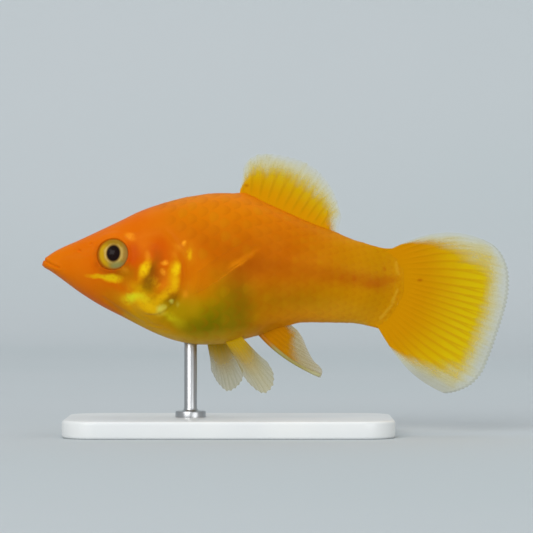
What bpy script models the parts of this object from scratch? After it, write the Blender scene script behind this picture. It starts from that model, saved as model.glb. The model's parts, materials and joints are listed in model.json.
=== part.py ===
"""A gold molly on a display stand: a life-size, still model of a deep-bodied male.

The fish swims along -X with its back towards +Z, and its left side faces -Y. The stand rests on z = 0.
Places on the fish are given as the distance behind the snout and the height above the snout's tip.
"""

import math

import bmesh
import bpy
import numpy as np
from mathutils import Vector

mm = 0.001
GAP = 0.3 * mm
# The left side of the fish faces -Y
SIDES = ((-1, "left"), (1, "right"))

# Driving sizes of the fish
TOTAL_LENGTH = 80 * mm
SNOUT_HEIGHT = 29 * mm
SNOUT_X = -TOTAL_LENGTH / 2
BODY_END = 66 * mm

# Side outline of the body, as (behind the snout, above the snout) in mm
BACK_LINE = (
    (0, 0), (0.5, 1.0), (1.4, 1.8), (3.1, 2.8), (6.5, 4.3), (13.3, 7.5), (16.8, 9.2), (20.2, 10.4),
    (25.3, 11.7), (30.4, 12.3), (33.8, 12.1), (38.5, 10.1), (47.0, 6.4), (54.3, 4.0), (59.5, 2.8),
    (66.0, 3.0),
)
BELLY_LINE = (
    (0, 0), (0.5, -0.5), (1.4, -1.0), (3.1, -2.2), (6.5, -4.7), (10.0, -6.9), (13.3, -8.6), (20.2, -12.0),
    (23.6, -13.1), (27.0, -13.6), (30.4, -13.5), (35.5, -12.4), (40.3, -10.4), (44.1, -9.8), (52.6, -9.9),
    (57.4, -10.8), (66.0, -13.5),
)
# Half the body's width, and the height at which it is widest, along the same length
HALF_WIDTH = (
    (0, 0), (0.4, 1.0), (1.4, 1.75), (3.1, 2.4), (6.5, 3.5), (10.0, 4.45), (13.3, 5.0), (17.0, 5.5),
    (21.0, 5.85), (27.0, 6.1), (31.0, 5.9), (36.0, 5.2), (41.0, 4.4), (46.0, 3.7), (51.0, 3.0), (55.0, 2.3),
    (61.0, 1.1), (66.0, 0.9),
)
WIDEST_HEIGHT = (
    (0, 0), (5.0, -0.4), (12.0, -0.6), (20.0, -2.0), (28.0, -4.2), (36.0, -3.0), (46.0, -1.9), (58.0, -4.0),
    (66.0, -4.5),
)
# A section is an ellipse at 2 and squarer above that
BACK_FULLNESS = ((0, 2.6), (8.0, 2.9), (18.0, 2.4), (30.0, 2.0), (66.0, 2.0))
BELLY_FULLNESS = ((0, 2.2), (14.0, 2.1), (27.0, 2.4), (44.0, 2.0), (66.0, 2.0))
BODY_SEGMENTS = 28
BODY_RINGS = 40
RING_CROWDING = 1.7
# Half the width of the blocks that part the body
BLOCK_REACH = 12 * mm

# The mouth's line from its front to its corner, and on down to the throat, where the lower jaw ends
MOUTH_LINE = ((-1.0, 2.1), (0.35, 0.95), (1.6, 0.15), (3.0, -0.45))
JAW_REAR = ((3.6, -1.1), (4.6, -3.0), (5.6, -6.5))
LIP_RADIUS = 0.5 * mm
LIP_START = 0.55
LIP_POINTS = 12

# The head ends along the rear margin of the gill cover
HEAD_REAR = (
    (18.2, 15.0), (19.0, 10.5), (20.6, 6.6), (23.0, 3.6), (24.5, 0.6), (24.8, -2.4), (23.7, -5.4),
    (21.0, -8.6), (18.0, -11.6), (16.0, -15.0),
)
TAIL_FRONT = ((51.6, 12.0), (52.3, 4.0), (52.6, -3.0), (52.1, -9.0), (51.6, -15.0))
# The scaled body ends on this arc, where the rays of the tail fin begin
TAIL_ARC = ((59.5, 2.8), (60.7, 0.6), (61.2, -1.7), (61.1, -4.4), (60.0, -7.0), (58.6, -9.1), (57.4, -10.8))

# Gill cover: a plate that stands proud of the head, with a steep front edge and a round rear one
GILL_OUTLINE = (
    (17.0, 3.2), (15.5, 0.4), (15.1, -3.0), (16.0, -6.2), (18.0, -8.2), (20.6, -8.0), (22.9, -5.6),
    (24.1, -2.5), (23.8, 0.5), (22.2, 3.0), (19.6, 4.2),
)
GILL_POINTS = 36
GILL_RAISE = 0.25 * mm
GILL_THICKNESS = 1.0 * mm
GILL_INNER = 1.8 * mm

# Eye
EYE_PLACE = (12.05, 1.9)
EYE_RADIUS = 2.65 * mm
EYE_HALF_DEPTH = 1.6 * mm
EYE_BULGE = 0.6 * mm
EYE_FORWARD = math.radians(10)
EYE_UPWARD = math.radians(10)
EYE_RIM_RADIUS = 0.42 * mm
EYE_RIM_STEP = 0.1 * mm
EYE_RIM_SINK = 0.15 * mm
EYE_SEGMENTS = 20
NOSTRILS = ((6.6, 2.5), (8.5, 3.6))
NOSTRIL_RADIUS = 0.32 * mm

# Thickness of the fins' membrane, of the rays above it, and at the margin
MEMBRANE = 0.5 * mm
RIDGE = 0.4 * mm
EDGE = 0.36 * mm
FIN_ROOT = 1.0 * mm
# How deep the root of a paired fin starts in the body, before it is cut to the skin
ROOT_SINK = 0.8 * mm
COLUMNS_PER_RAY = 2
# Rays of the tail fin fork this share of the way out
FORK = 0.45

# Tail fin: its margin runs from the top ray's tip round to the bottom ray's
TAIL_MARGIN = (
    (76.5, 3.3), (78.6, 1.6), (79.7, -0.5), (80.0, -3.0), (79.7, -6.0), (79.2, -8.0), (77.9, -12.0),
    (76.9, -14.9), (75.4, -17.6), (74.2, -19.1), (72.2, -20.5), (70.2, -21.4), (68.9, -21.4),
)
TAIL_BOW_TOP = 0.09
TAIL_BOW_BOTTOM = 0.05
TAIL_SWING = 1.6 * mm
TAIL_ROOT = 2.0 * mm
TAIL_RAYS = 16
TAIL_ROWS = 9

# Dorsal fin: its base runs along the back, its margin from the front ray's tip to the last ray's
DORSAL_BASE = (34.1, 50.7)
DORSAL_MARGIN = (
    (34.6, 15.2), (35.0, 17.4), (36.6, 18.7), (39.3, 18.8), (41.9, 18.1), (44.4, 16.7), (46.3, 14.9),
    (48.0, 12.9), (49.3, 10.4), (50.5, 7.2),
)
DORSAL_BOW = 0.05
DORSAL_SWING = 0.9 * mm
DORSAL_RAYS = 13
DORSAL_ROWS = 8

# Anal fin: the male's long, thick front ray, with a short fin behind it
ANAL_BASE = (37.2, 42.3)
ANAL_MARGIN = ((47.6, -19.3), (47.9, -18.2), (46.3, -16.2), (45.2, -14.1), (44.5, -12.4), (43.7, -11.2))
ANAL_BOW = 0.04
ANAL_CROWDING = 0.8
ANAL_FRONT_RAY = 0.95 * mm
ANAL_RAYS = 7
ANAL_ROWS = 8

# Pelvic fins: the left is swept back and the right hangs down. Each leans out from its root.
PELVIC_LEFT_BASE = (30.9, 33.9)
PELVIC_LEFT_MARGIN = (
    (34.4, -18.6), (35.6, -20.2), (38.3, -21.7), (39.4, -20.6), (39.6, -18.6), (38.5, -16.4),
)
PELVIC_RIGHT_BASE = (29.2, 32.2)
PELVIC_RIGHT_MARGIN = (
    (28.9, -17.6), (30.1, -20.0), (31.9, -21.9), (33.0, -20.8), (33.7, -19.0), (34.0, -17.2),
)
PELVICS = {
    "left": (PELVIC_LEFT_BASE, PELVIC_LEFT_MARGIN),
    "right": (PELVIC_RIGHT_BASE, PELVIC_RIGHT_MARGIN),
}
PELVIC_ROOT_ACROSS = 1.5 * mm
PELVIC_TIP_ACROSS = 5.2 * mm
PELVIC_TWIST = 0.35 * mm
PELVIC_BOW = 0.033
PELVIC_RAYS = 6
PELVIC_ROWS = 7

# Pectoral fins: rooted on the flank just behind the gill cover, swept up and back
PECTORAL_ROOT = ((25.9, -2.0), (25.6, -5.2))
PECTORAL_MARGIN = (
    (35.6, 4.7), (37.0, 4.4), (37.6, 3.3), (36.9, 2.2), (35.0, 0.8), (32.8, -0.6), (30.6, -2.4),
)
PECTORAL_LIFT = 1.0 * mm
PECTORAL_FLARE = math.radians(13)
PECTORAL_BOW = 0.035
PECTORAL_RAYS = 10
PECTORAL_ROWS = 7

# Stand
BASE_LENGTH = 56 * mm
BASE_WIDTH = 30 * mm
BASE_THICKNESS = 3 * mm
BASE_CENTRE_X = -8 * mm
BASE_CORNER = 6 * mm
BASE_BEVEL = 0.5 * mm
ROD_RADIUS = 1.1 * mm
ROD_BEHIND = 25.4
COLLAR_RADIUS = 2.6 * mm
COLLAR_HEIGHT = 0.8 * mm


def clear_scene():
    for old in list(bpy.data.objects):
        bpy.data.objects.remove(old, do_unlink=True)


def new_collection(name):
    made = bpy.data.collections.new(name)
    bpy.context.scene.collection.children.link(made)
    return made


def new_material(name, colour, roughness, metallic=0.0):
    material = bpy.data.materials.new(name)
    material.use_nodes = True
    shader = material.node_tree.nodes["Principled BSDF"]
    shader.inputs["Base Color"].default_value = (*colour, 1.0)
    shader.inputs["Roughness"].default_value = roughness
    shader.inputs["Metallic"].default_value = metallic
    return material


def smooth_curve(points):
    """A function of x through (x, y) points that never overshoots them."""
    xs, ys = (np.array(row, float) for row in zip(*points))
    slopes = np.diff(ys) / np.diff(xs)
    tangents = np.zeros(len(xs))
    for i in range(1, len(xs) - 1):
        before, after = slopes[i - 1], slopes[i]
        if before * after > 0:
            tangents[i] = 2 * before * after / (before + after)
    tangents[0], tangents[-1] = slopes[0], slopes[-1]

    def value(x):
        i = int(np.clip(np.searchsorted(xs, x) - 1, 0, len(xs) - 2))
        width = xs[i + 1] - xs[i]
        t = min(max((x - xs[i]) / width, 0.0), 1.0)
        return float(
            ys[i] * (1 + 2 * t) * (1 - t) ** 2
            + tangents[i] * width * t * (1 - t) ** 2
            + ys[i + 1] * t * t * (3 - 2 * t)
            + tangents[i + 1] * width * t * t * (t - 1)
        )

    return value


def smooth_path(points, closed=False):
    """A function of t from 0 to 1 through points of the plane, paced by the distance between them."""
    ring = [points[-1], *points, points[0], points[1]] if closed else points
    corners = np.array(ring, float)
    steps = np.linalg.norm(np.diff(corners, axis=0), axis=1)
    reach = np.concatenate([[0.0], np.cumsum(steps)])
    tangents = np.gradient(corners, reach, axis=0)
    if closed:
        corners, tangents, reach = corners[1:-1], tangents[1:-1], reach[1:-1] - reach[1]
    tangents *= reach[-1]
    reach = reach / reach[-1]

    def place(t):
        i = int(np.clip(np.searchsorted(reach, t) - 1, 0, len(reach) - 2))
        width = reach[i + 1] - reach[i]
        w = min(max((t - reach[i]) / width, 0.0), 1.0)
        return (
            corners[i] * (1 + 2 * w) * (1 - w) ** 2
            + tangents[i] * width * w * (1 - w) ** 2
            + corners[i + 1] * w * w * (3 - 2 * w)
            + tangents[i + 1] * width * w * w * (w - 1)
        )

    return place


def along(path, count):
    return [path(i / (count - 1)) for i in range(count)]


def shifted(points, distance):
    """The same open line moved sideways, to the left of the way that it runs."""
    line = np.array(points, float)
    ways = np.gradient(line, axis=0)
    ways /= np.linalg.norm(ways, axis=1, keepdims=True)
    return [tuple(p + distance * np.array((-way[1], way[0]))) for p, way in zip(line, ways)]


back_line = smooth_curve(BACK_LINE)
belly_line = smooth_curve(BELLY_LINE)
half_width = smooth_curve(HALF_WIDTH)
widest_height = smooth_curve(WIDEST_HEIGHT)
back_fullness = smooth_curve(BACK_FULLNESS)
belly_fullness = smooth_curve(BELLY_FULLNESS)


def at(behind, across, above):
    """World place of a point given in mm behind and above the snout, and in metres across."""
    return Vector((SNOUT_X + behind * mm, across, SNOUT_HEIGHT + above * mm))


def half_section(behind, upper, grow=0.0):
    """Half of the body's section: the height where it is widest, its reach from there, and its fullness."""
    widest = widest_height(behind)
    if upper:
        return widest, back_line(behind) - widest + grow / mm, back_fullness(behind)
    return widest, widest - belly_line(behind) + grow / mm, belly_fullness(behind)


def section_point(behind, angle, grow=0.0):
    """Place on the body's surface, at an angle round its section from the side up to the back."""
    side, rise = math.cos(angle), math.sin(angle)
    widest, reach, fullness = half_section(behind, rise >= 0, grow)
    across = (half_width(behind) * mm + grow) * math.copysign(abs(side) ** (2 / fullness), side)
    above = widest + reach * math.copysign(abs(rise) ** (2 / fullness), rise)
    return at(behind, across, above)


def flank_width(behind, above):
    """Distance from the middle plane to the flank, at a place in the side view."""
    widest, reach, fullness = half_section(behind, above >= widest_height(behind))
    share = min(abs(above - widest) / reach, 1.0)
    return half_width(behind) * mm * (1 - share**fullness) ** (1 / fullness)


def belly_height(behind, across):
    """Height of the underside of the body, at a distance from the middle plane."""
    widest, reach, fullness = half_section(behind, upper=False)
    share = min(abs(across) / (half_width(behind) * mm), 1.0)
    return widest - reach * (1 - share**fullness) ** (1 / fullness)


def link(obj, group, material=None):
    group.objects.link(obj)
    if material is not None:
        obj.data.materials.append(material)
    return obj


def as_helper(obj):
    obj.hide_render = True
    obj.display_type = "WIRE"
    return obj


def body_object(name, group, material=None, grow=0.0):
    """The whole body as one closed form: a sphere whose rings become the body's sections."""
    bm = bmesh.new()
    bmesh.ops.create_uvsphere(bm, u_segments=BODY_SEGMENTS, v_segments=BODY_RINGS, radius=1.0)
    for vert in bm.verts:
        share = math.acos(max(-1.0, min(1.0, vert.co.z))) / math.pi
        behind = BODY_END / mm * share**RING_CROWDING
        if share < 1e-4:
            vert.co = at(-grow / mm, 0, 0)
        elif share > 1 - 1e-4:
            vert.co = at(behind, 0, (back_line(behind) + belly_line(behind)) / 2)
        else:
            vert.co = section_point(behind, math.atan2(vert.co.y, vert.co.x), grow)
    # The sphere's top became the snout, which mirrors it, so its faces are turned round
    bmesh.ops.reverse_faces(bm, faces=bm.faces)
    mesh = bpy.data.meshes.new(name)
    bm.to_mesh(mesh)
    bm.free()
    mesh.shade_smooth()
    return link(bpy.data.objects.new(name, mesh), group, material)


def mesh_from_curve(curve_object, group):
    """Turns a curve object into a mesh object with its caps welded on."""
    graph = bpy.context.evaluated_depsgraph_get()
    mesh = bpy.data.meshes.new_from_object(curve_object.evaluated_get(graph))
    bm = bmesh.new()
    bm.from_mesh(mesh)
    bmesh.ops.remove_doubles(bm, verts=bm.verts, dist=1e-6)
    bmesh.ops.recalc_face_normals(bm, faces=bm.faces)
    bm.to_mesh(mesh)
    bm.free()
    solid = bpy.data.objects.new(curve_object.name, mesh)
    solid.matrix_world = curve_object.matrix_world.copy()
    bpy.data.objects.remove(curve_object)
    group.objects.link(solid)
    return solid


def side_slab(name, outline, near, far, group):
    """A flat outline of the side view, in mm, made solid from one distance across to another."""
    curve = bpy.data.curves.new(name, "CURVE")
    curve.dimensions = "2D"
    curve.fill_mode = "BOTH"
    curve.extrude = (far - near) / 2
    spline = curve.splines.new("POLY")
    spline.points.add(len(outline) - 1)
    for point, (behind, above) in zip(spline.points, outline):
        point.co = (SNOUT_X + behind * mm, SNOUT_HEIGHT + above * mm, 0, 1)
    spline.use_cyclic_u = True
    obj = bpy.data.objects.new(name, curve)
    obj.location = (0, (near + far) / 2, 0)
    obj.rotation_euler = (math.pi / 2, 0, 0)
    bpy.context.scene.collection.objects.link(obj)
    bpy.context.view_layer.update()
    return as_helper(mesh_from_curve(obj, group))


def tube(name, points, radius, group):
    """A round tube along points of the world, as a mesh."""
    curve = bpy.data.curves.new(name, "CURVE")
    curve.dimensions = "3D"
    curve.bevel_depth = radius
    curve.bevel_resolution = 1
    curve.use_fill_caps = True
    spline = curve.splines.new("POLY")
    spline.points.add(len(points) - 1)
    for point, place in zip(spline.points, points):
        point.co = (*place, 1)
    obj = bpy.data.objects.new(name, curve)
    bpy.context.scene.collection.objects.link(obj)
    bpy.context.view_layer.update()
    return as_helper(mesh_from_curve(obj, group))


def combine(target, other, operation):
    modifier = target.modifiers.new(f"{operation.lower()}_{other.name}", "BOOLEAN")
    modifier.operation = operation
    modifier.solver = "EXACT"
    modifier.object = other


def gill_outline(grow=0.0):
    """The gill cover's outline in the side view, in mm, with its edge moved outwards."""
    ring = along(smooth_path(GILL_OUTLINE, closed=True), GILL_POINTS + 1)
    moved = shifted(ring, -grow / mm)
    return moved[:-1]


def made_by_operator(name, group, material=None):
    """Takes the object that an operator has just made into a collection."""
    obj = bpy.context.object
    obj.name = obj.data.name = name
    for old in list(obj.users_collection):
        old.objects.unlink(obj)
    return link(obj, group, material)


def eye_axis(side):
    """The way an eye looks, and the place on the flank under its middle."""
    behind, above = EYE_PLACE
    facing = Vector((-math.sin(EYE_FORWARD), side * math.cos(EYE_FORWARD), math.sin(EYE_UPWARD))).normalized()
    return facing, at(behind, side * flank_width(behind, above), above)


def eye_form(name, side, grow, group, material=None):
    """One eyeball: a flattened sphere that looks out, a little forwards and a little up."""
    facing, place = eye_axis(side)
    bpy.ops.mesh.primitive_uv_sphere_add(segments=EYE_SEGMENTS, ring_count=EYE_SEGMENTS // 2, radius=1.0)
    obj = made_by_operator(name, group, material)
    turn = facing.to_track_quat("Z", "Y").to_matrix()
    across, deep = EYE_RADIUS + grow, EYE_HALF_DEPTH + grow
    for vert in obj.data.vertices:
        vert.co = turn @ Vector((vert.co.x * across, vert.co.y * across, vert.co.z * deep))
    obj.location = place - facing * (EYE_HALF_DEPTH - EYE_BULGE)
    obj.data.shade_smooth()
    return obj


def eye_rim(name, side, group):
    """The low ring of skin round an eye."""
    facing, place = eye_axis(side)
    bpy.ops.mesh.primitive_torus_add(
        major_radius=EYE_RADIUS + GAP + EYE_RIM_STEP, minor_radius=EYE_RIM_RADIUS,
        major_segments=EYE_SEGMENTS + 6, minor_segments=6,
    )
    obj = made_by_operator(name, group)
    obj.rotation_mode = "QUATERNION"
    obj.rotation_quaternion = facing.to_track_quat("Z", "Y")
    obj.location = place - facing * EYE_RIM_SINK
    return as_helper(obj)


def nostril(name, side, place, group):
    behind, above = place
    bpy.ops.mesh.primitive_uv_sphere_add(segments=8, ring_count=6, radius=NOSTRIL_RADIUS)
    obj = made_by_operator(name, group)
    obj.location = at(behind, side * flank_width(behind, above), above)
    return as_helper(obj)


def lip_path():
    """Places along the mouth's edge, from one corner round the front to the other."""
    line = [p for p in along(smooth_path(MOUTH_LINE), LIP_POINTS) if p[0] > LIP_START]
    left = [at(p[0], -flank_width(p[0], p[1]), p[1]) for p in line]
    right = [at(p[0], flank_width(p[0], p[1]), p[1]) for p in line]
    return left[::-1] + right


def fin(name, point_at, half_thickness_at, columns, rows, group, material):
    """A fin: a grid laid on its middle surface and split into triangles, then thickened place by place."""
    bm = bmesh.new()
    bmesh.ops.create_grid(bm, x_segments=columns, y_segments=rows, size=1.0)
    weights = bm.verts.layers.deform.verify()
    thickest = max(
        half_thickness_at(i / columns, j / rows) for i in range(columns + 1) for j in range(rows + 1)
    )
    for vert in bm.verts:
        u, v = (vert.co.x + 1) / 2, (vert.co.y + 1) / 2
        vert.co = point_at(u, v)
        vert[weights][0] = half_thickness_at(u, v) / thickest
    bmesh.ops.triangulate(bm, faces=bm.faces)
    mesh = bpy.data.meshes.new(name)
    bm.to_mesh(mesh)
    bm.free()
    mesh.shade_smooth()
    obj = link(bpy.data.objects.new(name, mesh), group, material)
    obj.vertex_groups.new(name="thickness")
    thicken = obj.modifiers.new("thickness", "SOLIDIFY")
    thicken.thickness = 2 * thickest
    thicken.offset = 0
    thicken.vertex_group = "thickness"
    return obj


def blend(a, b, t):
    t = min(max(t, 0.0), 1.0)
    return a + (b - a) * t * t * (3 - 2 * t)


def ray_ridge(u, v, rays, forks):
    """How high a ray stands at a place on a fin, from 0 between rays to 1 on them."""
    place = u * rays
    across = abs(place - math.floor(place) - 0.5) * 2
    single = max(0.0, 1 - across)
    if not forks:
        return single
    twin = max(0.0, 1 - abs(across - 0.5) * 2)
    return blend(single, max(twin, 0.3 * single), (v - FORK) / 0.15)


def ray_thickness(rays, root, root_reach, forks=False):
    """Half the thickness over a fin: thick at its root, ridged along its rays and thin at its margin."""

    def half_thickness(u, v):
        thick = blend(root, MEMBRANE, v / root_reach)
        thick += RIDGE * ray_ridge(u, v, rays, forks) * blend(0, 1, (v - 0.08) / 0.22)
        return blend(thick, EDGE, (v - 0.75) / 0.25) / 2

    return half_thickness


def bowed(root, tip, v, bow):
    """A place along a ray from its root to its tip, bent sideways at its middle by a share of its length."""
    way = tip - root
    side = np.array((-way[1], way[0]))
    return root + way * v + side * bow * 4 * v * (1 - v)


def head(fish, helpers, blocks, lips, material):
    """The head, with room for its eyes, lower jaw, gill covers and nostrils cut out."""
    made = body_object("head", fish, material)
    combine(made, lips, "UNION")
    for side, word in SIDES:
        combine(made, eye_rim(f"eye_rim_{word}", side, helpers), "UNION")
    combine(made, blocks["head"], "INTERSECT")
    combine(made, blocks["jaw_room"], "DIFFERENCE")
    bed = as_helper(body_object("gill_bed", helpers, grow=GILL_RAISE - GILL_THICKNESS - GAP))
    outline = gill_outline(GAP)
    for side, word in SIDES:
        near, far = sorted((side * (GILL_INNER - GAP), side * BLOCK_REACH))
        room = side_slab(f"gill_room_{word}", outline, near, far, helpers)
        combine(room, bed, "DIFFERENCE")
        combine(made, room, "DIFFERENCE")
        combine(made, as_helper(eye_form(f"eye_socket_{word}", side, GAP, helpers)), "DIFFERENCE")
        for number, place in enumerate(NOSTRILS, 1):
            combine(made, nostril(f"nostril_{word}_{number}", side, place, helpers), "DIFFERENCE")


def gill_covers(fish, helpers, blocks, material):
    under = as_helper(body_object("gill_underside", helpers, grow=GILL_RAISE - GILL_THICKNESS))
    outline = gill_outline()
    for side, word in SIDES:
        near, far = sorted((side * GILL_INNER, side * (BLOCK_REACH - GAP)))
        plate = side_slab(f"gill_plate_{word}", outline, near, far, helpers)
        cover = body_object(f"gill_cover_{word}", fish, material, grow=GILL_RAISE)
        combine(cover, plate, "INTERSECT")
        combine(cover, blocks["head"], "INTERSECT")
        combine(cover, under, "DIFFERENCE")


def tail_fin(fish, material, tail_arc):
    root_at = smooth_path(shifted(tail_arc, GAP / mm))
    tip_at = smooth_path(TAIL_MARGIN)

    def point(u, v):
        bow = blend(TAIL_BOW_TOP, 0, u / 0.4) - blend(0, TAIL_BOW_BOTTOM, (u - 0.6) / 0.4)
        spot = bowed(root_at(u), tip_at(u), v, bow)
        swing = TAIL_SWING * v * v * math.sin(math.pi * (0.2 + 0.9 * u))
        return at(spot[0], swing, spot[1])

    thickness = ray_thickness(TAIL_RAYS, TAIL_ROOT, 0.3, forks=True)
    fin("caudal_fin", point, thickness, 2 * COLUMNS_PER_RAY * TAIL_RAYS, TAIL_ROWS, fish, material)


def dorsal_fin(fish, material):
    front, rear = DORSAL_BASE
    tip_at = smooth_path(DORSAL_MARGIN)

    def point(u, v):
        behind = front + (rear - front) * u
        root = np.array((behind, back_line(behind) + GAP / mm))
        spot = bowed(root, tip_at(u), v, DORSAL_BOW * u)
        swing = DORSAL_SWING * v * v * math.sin(math.pi * (0.1 + 1.2 * u))
        return at(spot[0], swing, spot[1])

    thickness = ray_thickness(DORSAL_RAYS, FIN_ROOT, 0.35)
    fin("dorsal_fin", point, thickness, COLUMNS_PER_RAY * DORSAL_RAYS, DORSAL_ROWS, fish, material)


def anal_fin(fish, material):
    front, rear = ANAL_BASE
    tip_at = smooth_path(ANAL_MARGIN)
    membrane = ray_thickness(ANAL_RAYS, FIN_ROOT, 0.4)

    def point(u, v):
        behind = front + (rear - front) * u
        root = np.array((behind, belly_line(behind) - GAP / mm))
        spot = bowed(root, tip_at(u**ANAL_CROWDING), v, ANAL_BOW * (u - 1))
        return at(spot[0], 0, spot[1])

    def half_thickness(u, v):
        front_ray = ANAL_FRONT_RAY * (1 - 0.35 * v) / 2
        return blend(front_ray, membrane(u, v), (u - 0.08) / 0.14)

    fin("anal_fin", point, half_thickness, COLUMNS_PER_RAY * ANAL_RAYS, ANAL_ROWS, fish, material)


def pelvic_fin(name, side, base, margin, fish, material, clearance):
    front, rear = base
    tip_at = smooth_path(margin)

    def point(u, v):
        behind = front + (rear - front) * u
        root = np.array((behind, belly_height(behind, PELVIC_ROOT_ACROSS) + ROOT_SINK / mm))
        spot = bowed(root, tip_at(u), v, PELVIC_BOW * (1 - 2 * u))
        across = PELVIC_ROOT_ACROSS + (PELVIC_TIP_ACROSS - PELVIC_ROOT_ACROSS) * v**1.2
        across += PELVIC_TWIST * u * (1 - v)
        return at(spot[0], side * across, spot[1])

    thickness = ray_thickness(PELVIC_RAYS, FIN_ROOT, 0.4)
    made = fin(name, point, thickness, COLUMNS_PER_RAY * PELVIC_RAYS, PELVIC_ROWS, fish, material)
    combine(made, clearance, "DIFFERENCE")


def pectoral_fin(name, side, fish, material, clearance):
    top, foot = (np.array(place) for place in PECTORAL_ROOT)
    tip_at = smooth_path(PECTORAL_MARGIN)

    def point(u, v):
        root = top + (foot - top) * u
        spot = bowed(root, tip_at(u), v, PECTORAL_BOW * (1 - 2 * u))
        lift = blend(-ROOT_SINK, PECTORAL_LIFT, v / 0.22)
        away = np.linalg.norm(spot - root) * mm * math.tan(PECTORAL_FLARE) * (1 - 0.35 * v)
        return at(spot[0], side * (flank_width(*root) + lift + away), spot[1])

    thickness = ray_thickness(PECTORAL_RAYS, FIN_ROOT, 0.4)
    made = fin(name, point, thickness, COLUMNS_PER_RAY * PECTORAL_RAYS, PECTORAL_ROWS, fish, material)
    combine(made, clearance, "DIFFERENCE")


def object_from(bm, name, group, material):
    mesh = bpy.data.meshes.new(name)
    bm.to_mesh(mesh)
    bm.free()
    return link(bpy.data.objects.new(name, mesh), group, material)


def stand_base(fish, material):
    """A flat plate with round corners and softened edges."""
    bm = bmesh.new()
    bmesh.ops.create_cube(bm, size=1.0)
    bmesh.ops.scale(bm, vec=(BASE_LENGTH, BASE_WIDTH, BASE_THICKNESS), verts=bm.verts)
    upright = [e for e in bm.edges if abs(e.verts[0].co.z - e.verts[1].co.z) > BASE_THICKNESS / 2]
    bmesh.ops.bevel(
        bm, geom=upright, offset=BASE_CORNER, segments=6, affect="EDGES", profile=0.5, material=-1
    )
    base = object_from(bm, "stand_base", fish, material)
    base.location = (BASE_CENTRE_X, 0, BASE_THICKNESS / 2)
    soften = base.modifiers.new("edges", "BEVEL")
    soften.width = BASE_BEVEL
    soften.segments = 2
    soften.limit_method = "ANGLE"
    soften.angle_limit = math.radians(60)


def stand_rod(fish, material, clearance):
    """A turned rod on a collar, its top cut to fit the belly."""
    foot = BASE_THICKNESS + GAP
    top = SNOUT_HEIGHT + (belly_line(ROD_BEHIND) + 1.0) * mm
    collar = foot + COLLAR_HEIGHT
    profile = (
        (0, top), (ROD_RADIUS, top), (ROD_RADIUS, collar),
        (COLLAR_RADIUS, collar), (COLLAR_RADIUS, foot), (0, foot),
    )
    bm = bmesh.new()
    corners = [bm.verts.new((across, 0, up)) for across, up in profile]
    for first, second in zip(corners, corners[1:]):
        bm.edges.new((first, second))
    rod = object_from(bm, "stand_rod", fish, material)
    rod.location = (SNOUT_X + ROD_BEHIND * mm, 0, 0)
    turn = rod.modifiers.new("turn", "SCREW")
    turn.steps = turn.render_steps = 24
    turn.use_merge_vertices = True
    turn.merge_threshold = 0.00001
    combine(rod, clearance, "DIFFERENCE")


def body_blocks(helpers, tail_arc):
    """The helpers that part the body, each a slab of the side view, with the gaps between them."""
    mouth = along(smooth_path(MOUTH_LINE + JAW_REAR), 22)
    head_rear = along(smooth_path(HEAD_REAR), 30)
    tail_front = along(smooth_path(TAIL_FRONT), 10)
    outlines = {
        "jaw": mouth + [(-4, -8)],
        "jaw_room": shifted(mouth, GAP / mm) + [(-6, -10)],
        "head": head_rear + [(-5, -18), (-5, 18)],
        "trunk": shifted(head_rear, GAP / mm) + tail_front[::-1],
        "stalk": shifted(tail_front, GAP / mm) + [(57.0, -13.0)] + tail_arc[::-1] + [(59.2, 4.5)],
    }
    return {
        name: side_slab(f"{name}_block", outline, -BLOCK_REACH, BLOCK_REACH, helpers)
        for name, outline in outlines.items()
    }


def build():
    clear_scene()
    fish = new_collection("gold_molly")
    helpers = new_collection("cutters")

    orange = new_material("orange_skin", (0.75, 0.20, 0.01), 0.35)
    gill_gold = new_material("gill_gold", (0.80, 0.42, 0.02), 0.30)
    yellow_fin = new_material("yellow_fin", (0.72, 0.42, 0.02), 0.40)
    pale_fin = new_material("pale_fin", (0.62, 0.58, 0.32), 0.40)
    eye_glass = new_material("eye_glass", (0.60, 0.55, 0.28), 0.10)
    white_base = new_material("white_base", (0.75, 0.76, 0.77), 0.35)
    steel = new_material("brushed_steel", (0.60, 0.61, 0.62), 0.30, 1.0)

    tail_arc = along(smooth_path(TAIL_ARC), 14)
    blocks = body_blocks(helpers, tail_arc)
    lips = tube("lip_roll", lip_path(), LIP_RADIUS, helpers)

    head(fish, helpers, blocks, lips, orange)
    jaw = body_object("lower_jaw", fish, orange)
    combine(jaw, lips, "UNION")
    combine(jaw, blocks["jaw"], "INTERSECT")
    gill_covers(fish, helpers, blocks, gill_gold)
    for side, word in SIDES:
        eye_form(f"eye_{word}", side, 0.0, fish, eye_glass)
    combine(body_object("trunk", fish, orange), blocks["trunk"], "INTERSECT")
    combine(body_object("tail_stalk", fish, orange), blocks["stalk"], "INTERSECT")

    tail_fin(fish, yellow_fin, tail_arc)
    dorsal_fin(fish, yellow_fin)
    anal_fin(fish, yellow_fin)
    clearance = as_helper(body_object("body_clearance", helpers, grow=GAP))
    for side, word in SIDES:
        pelvic_fin(f"pelvic_fin_{word}", side, *PELVICS[word], fish, pale_fin, clearance)
        pectoral_fin(f"pectoral_fin_{word}", side, fish, pale_fin, clearance)

    stand_base(fish, white_base)
    stand_rod(fish, steel, clearance)


build()
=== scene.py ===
# %% [markdown]
# # A gold molly on a display stand
# The solids of the fish are loaded first and never moved. Every piece made below is placed from the
# same sizes as they are, so the picture, the solids and the finished meshes all share one frame.

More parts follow.
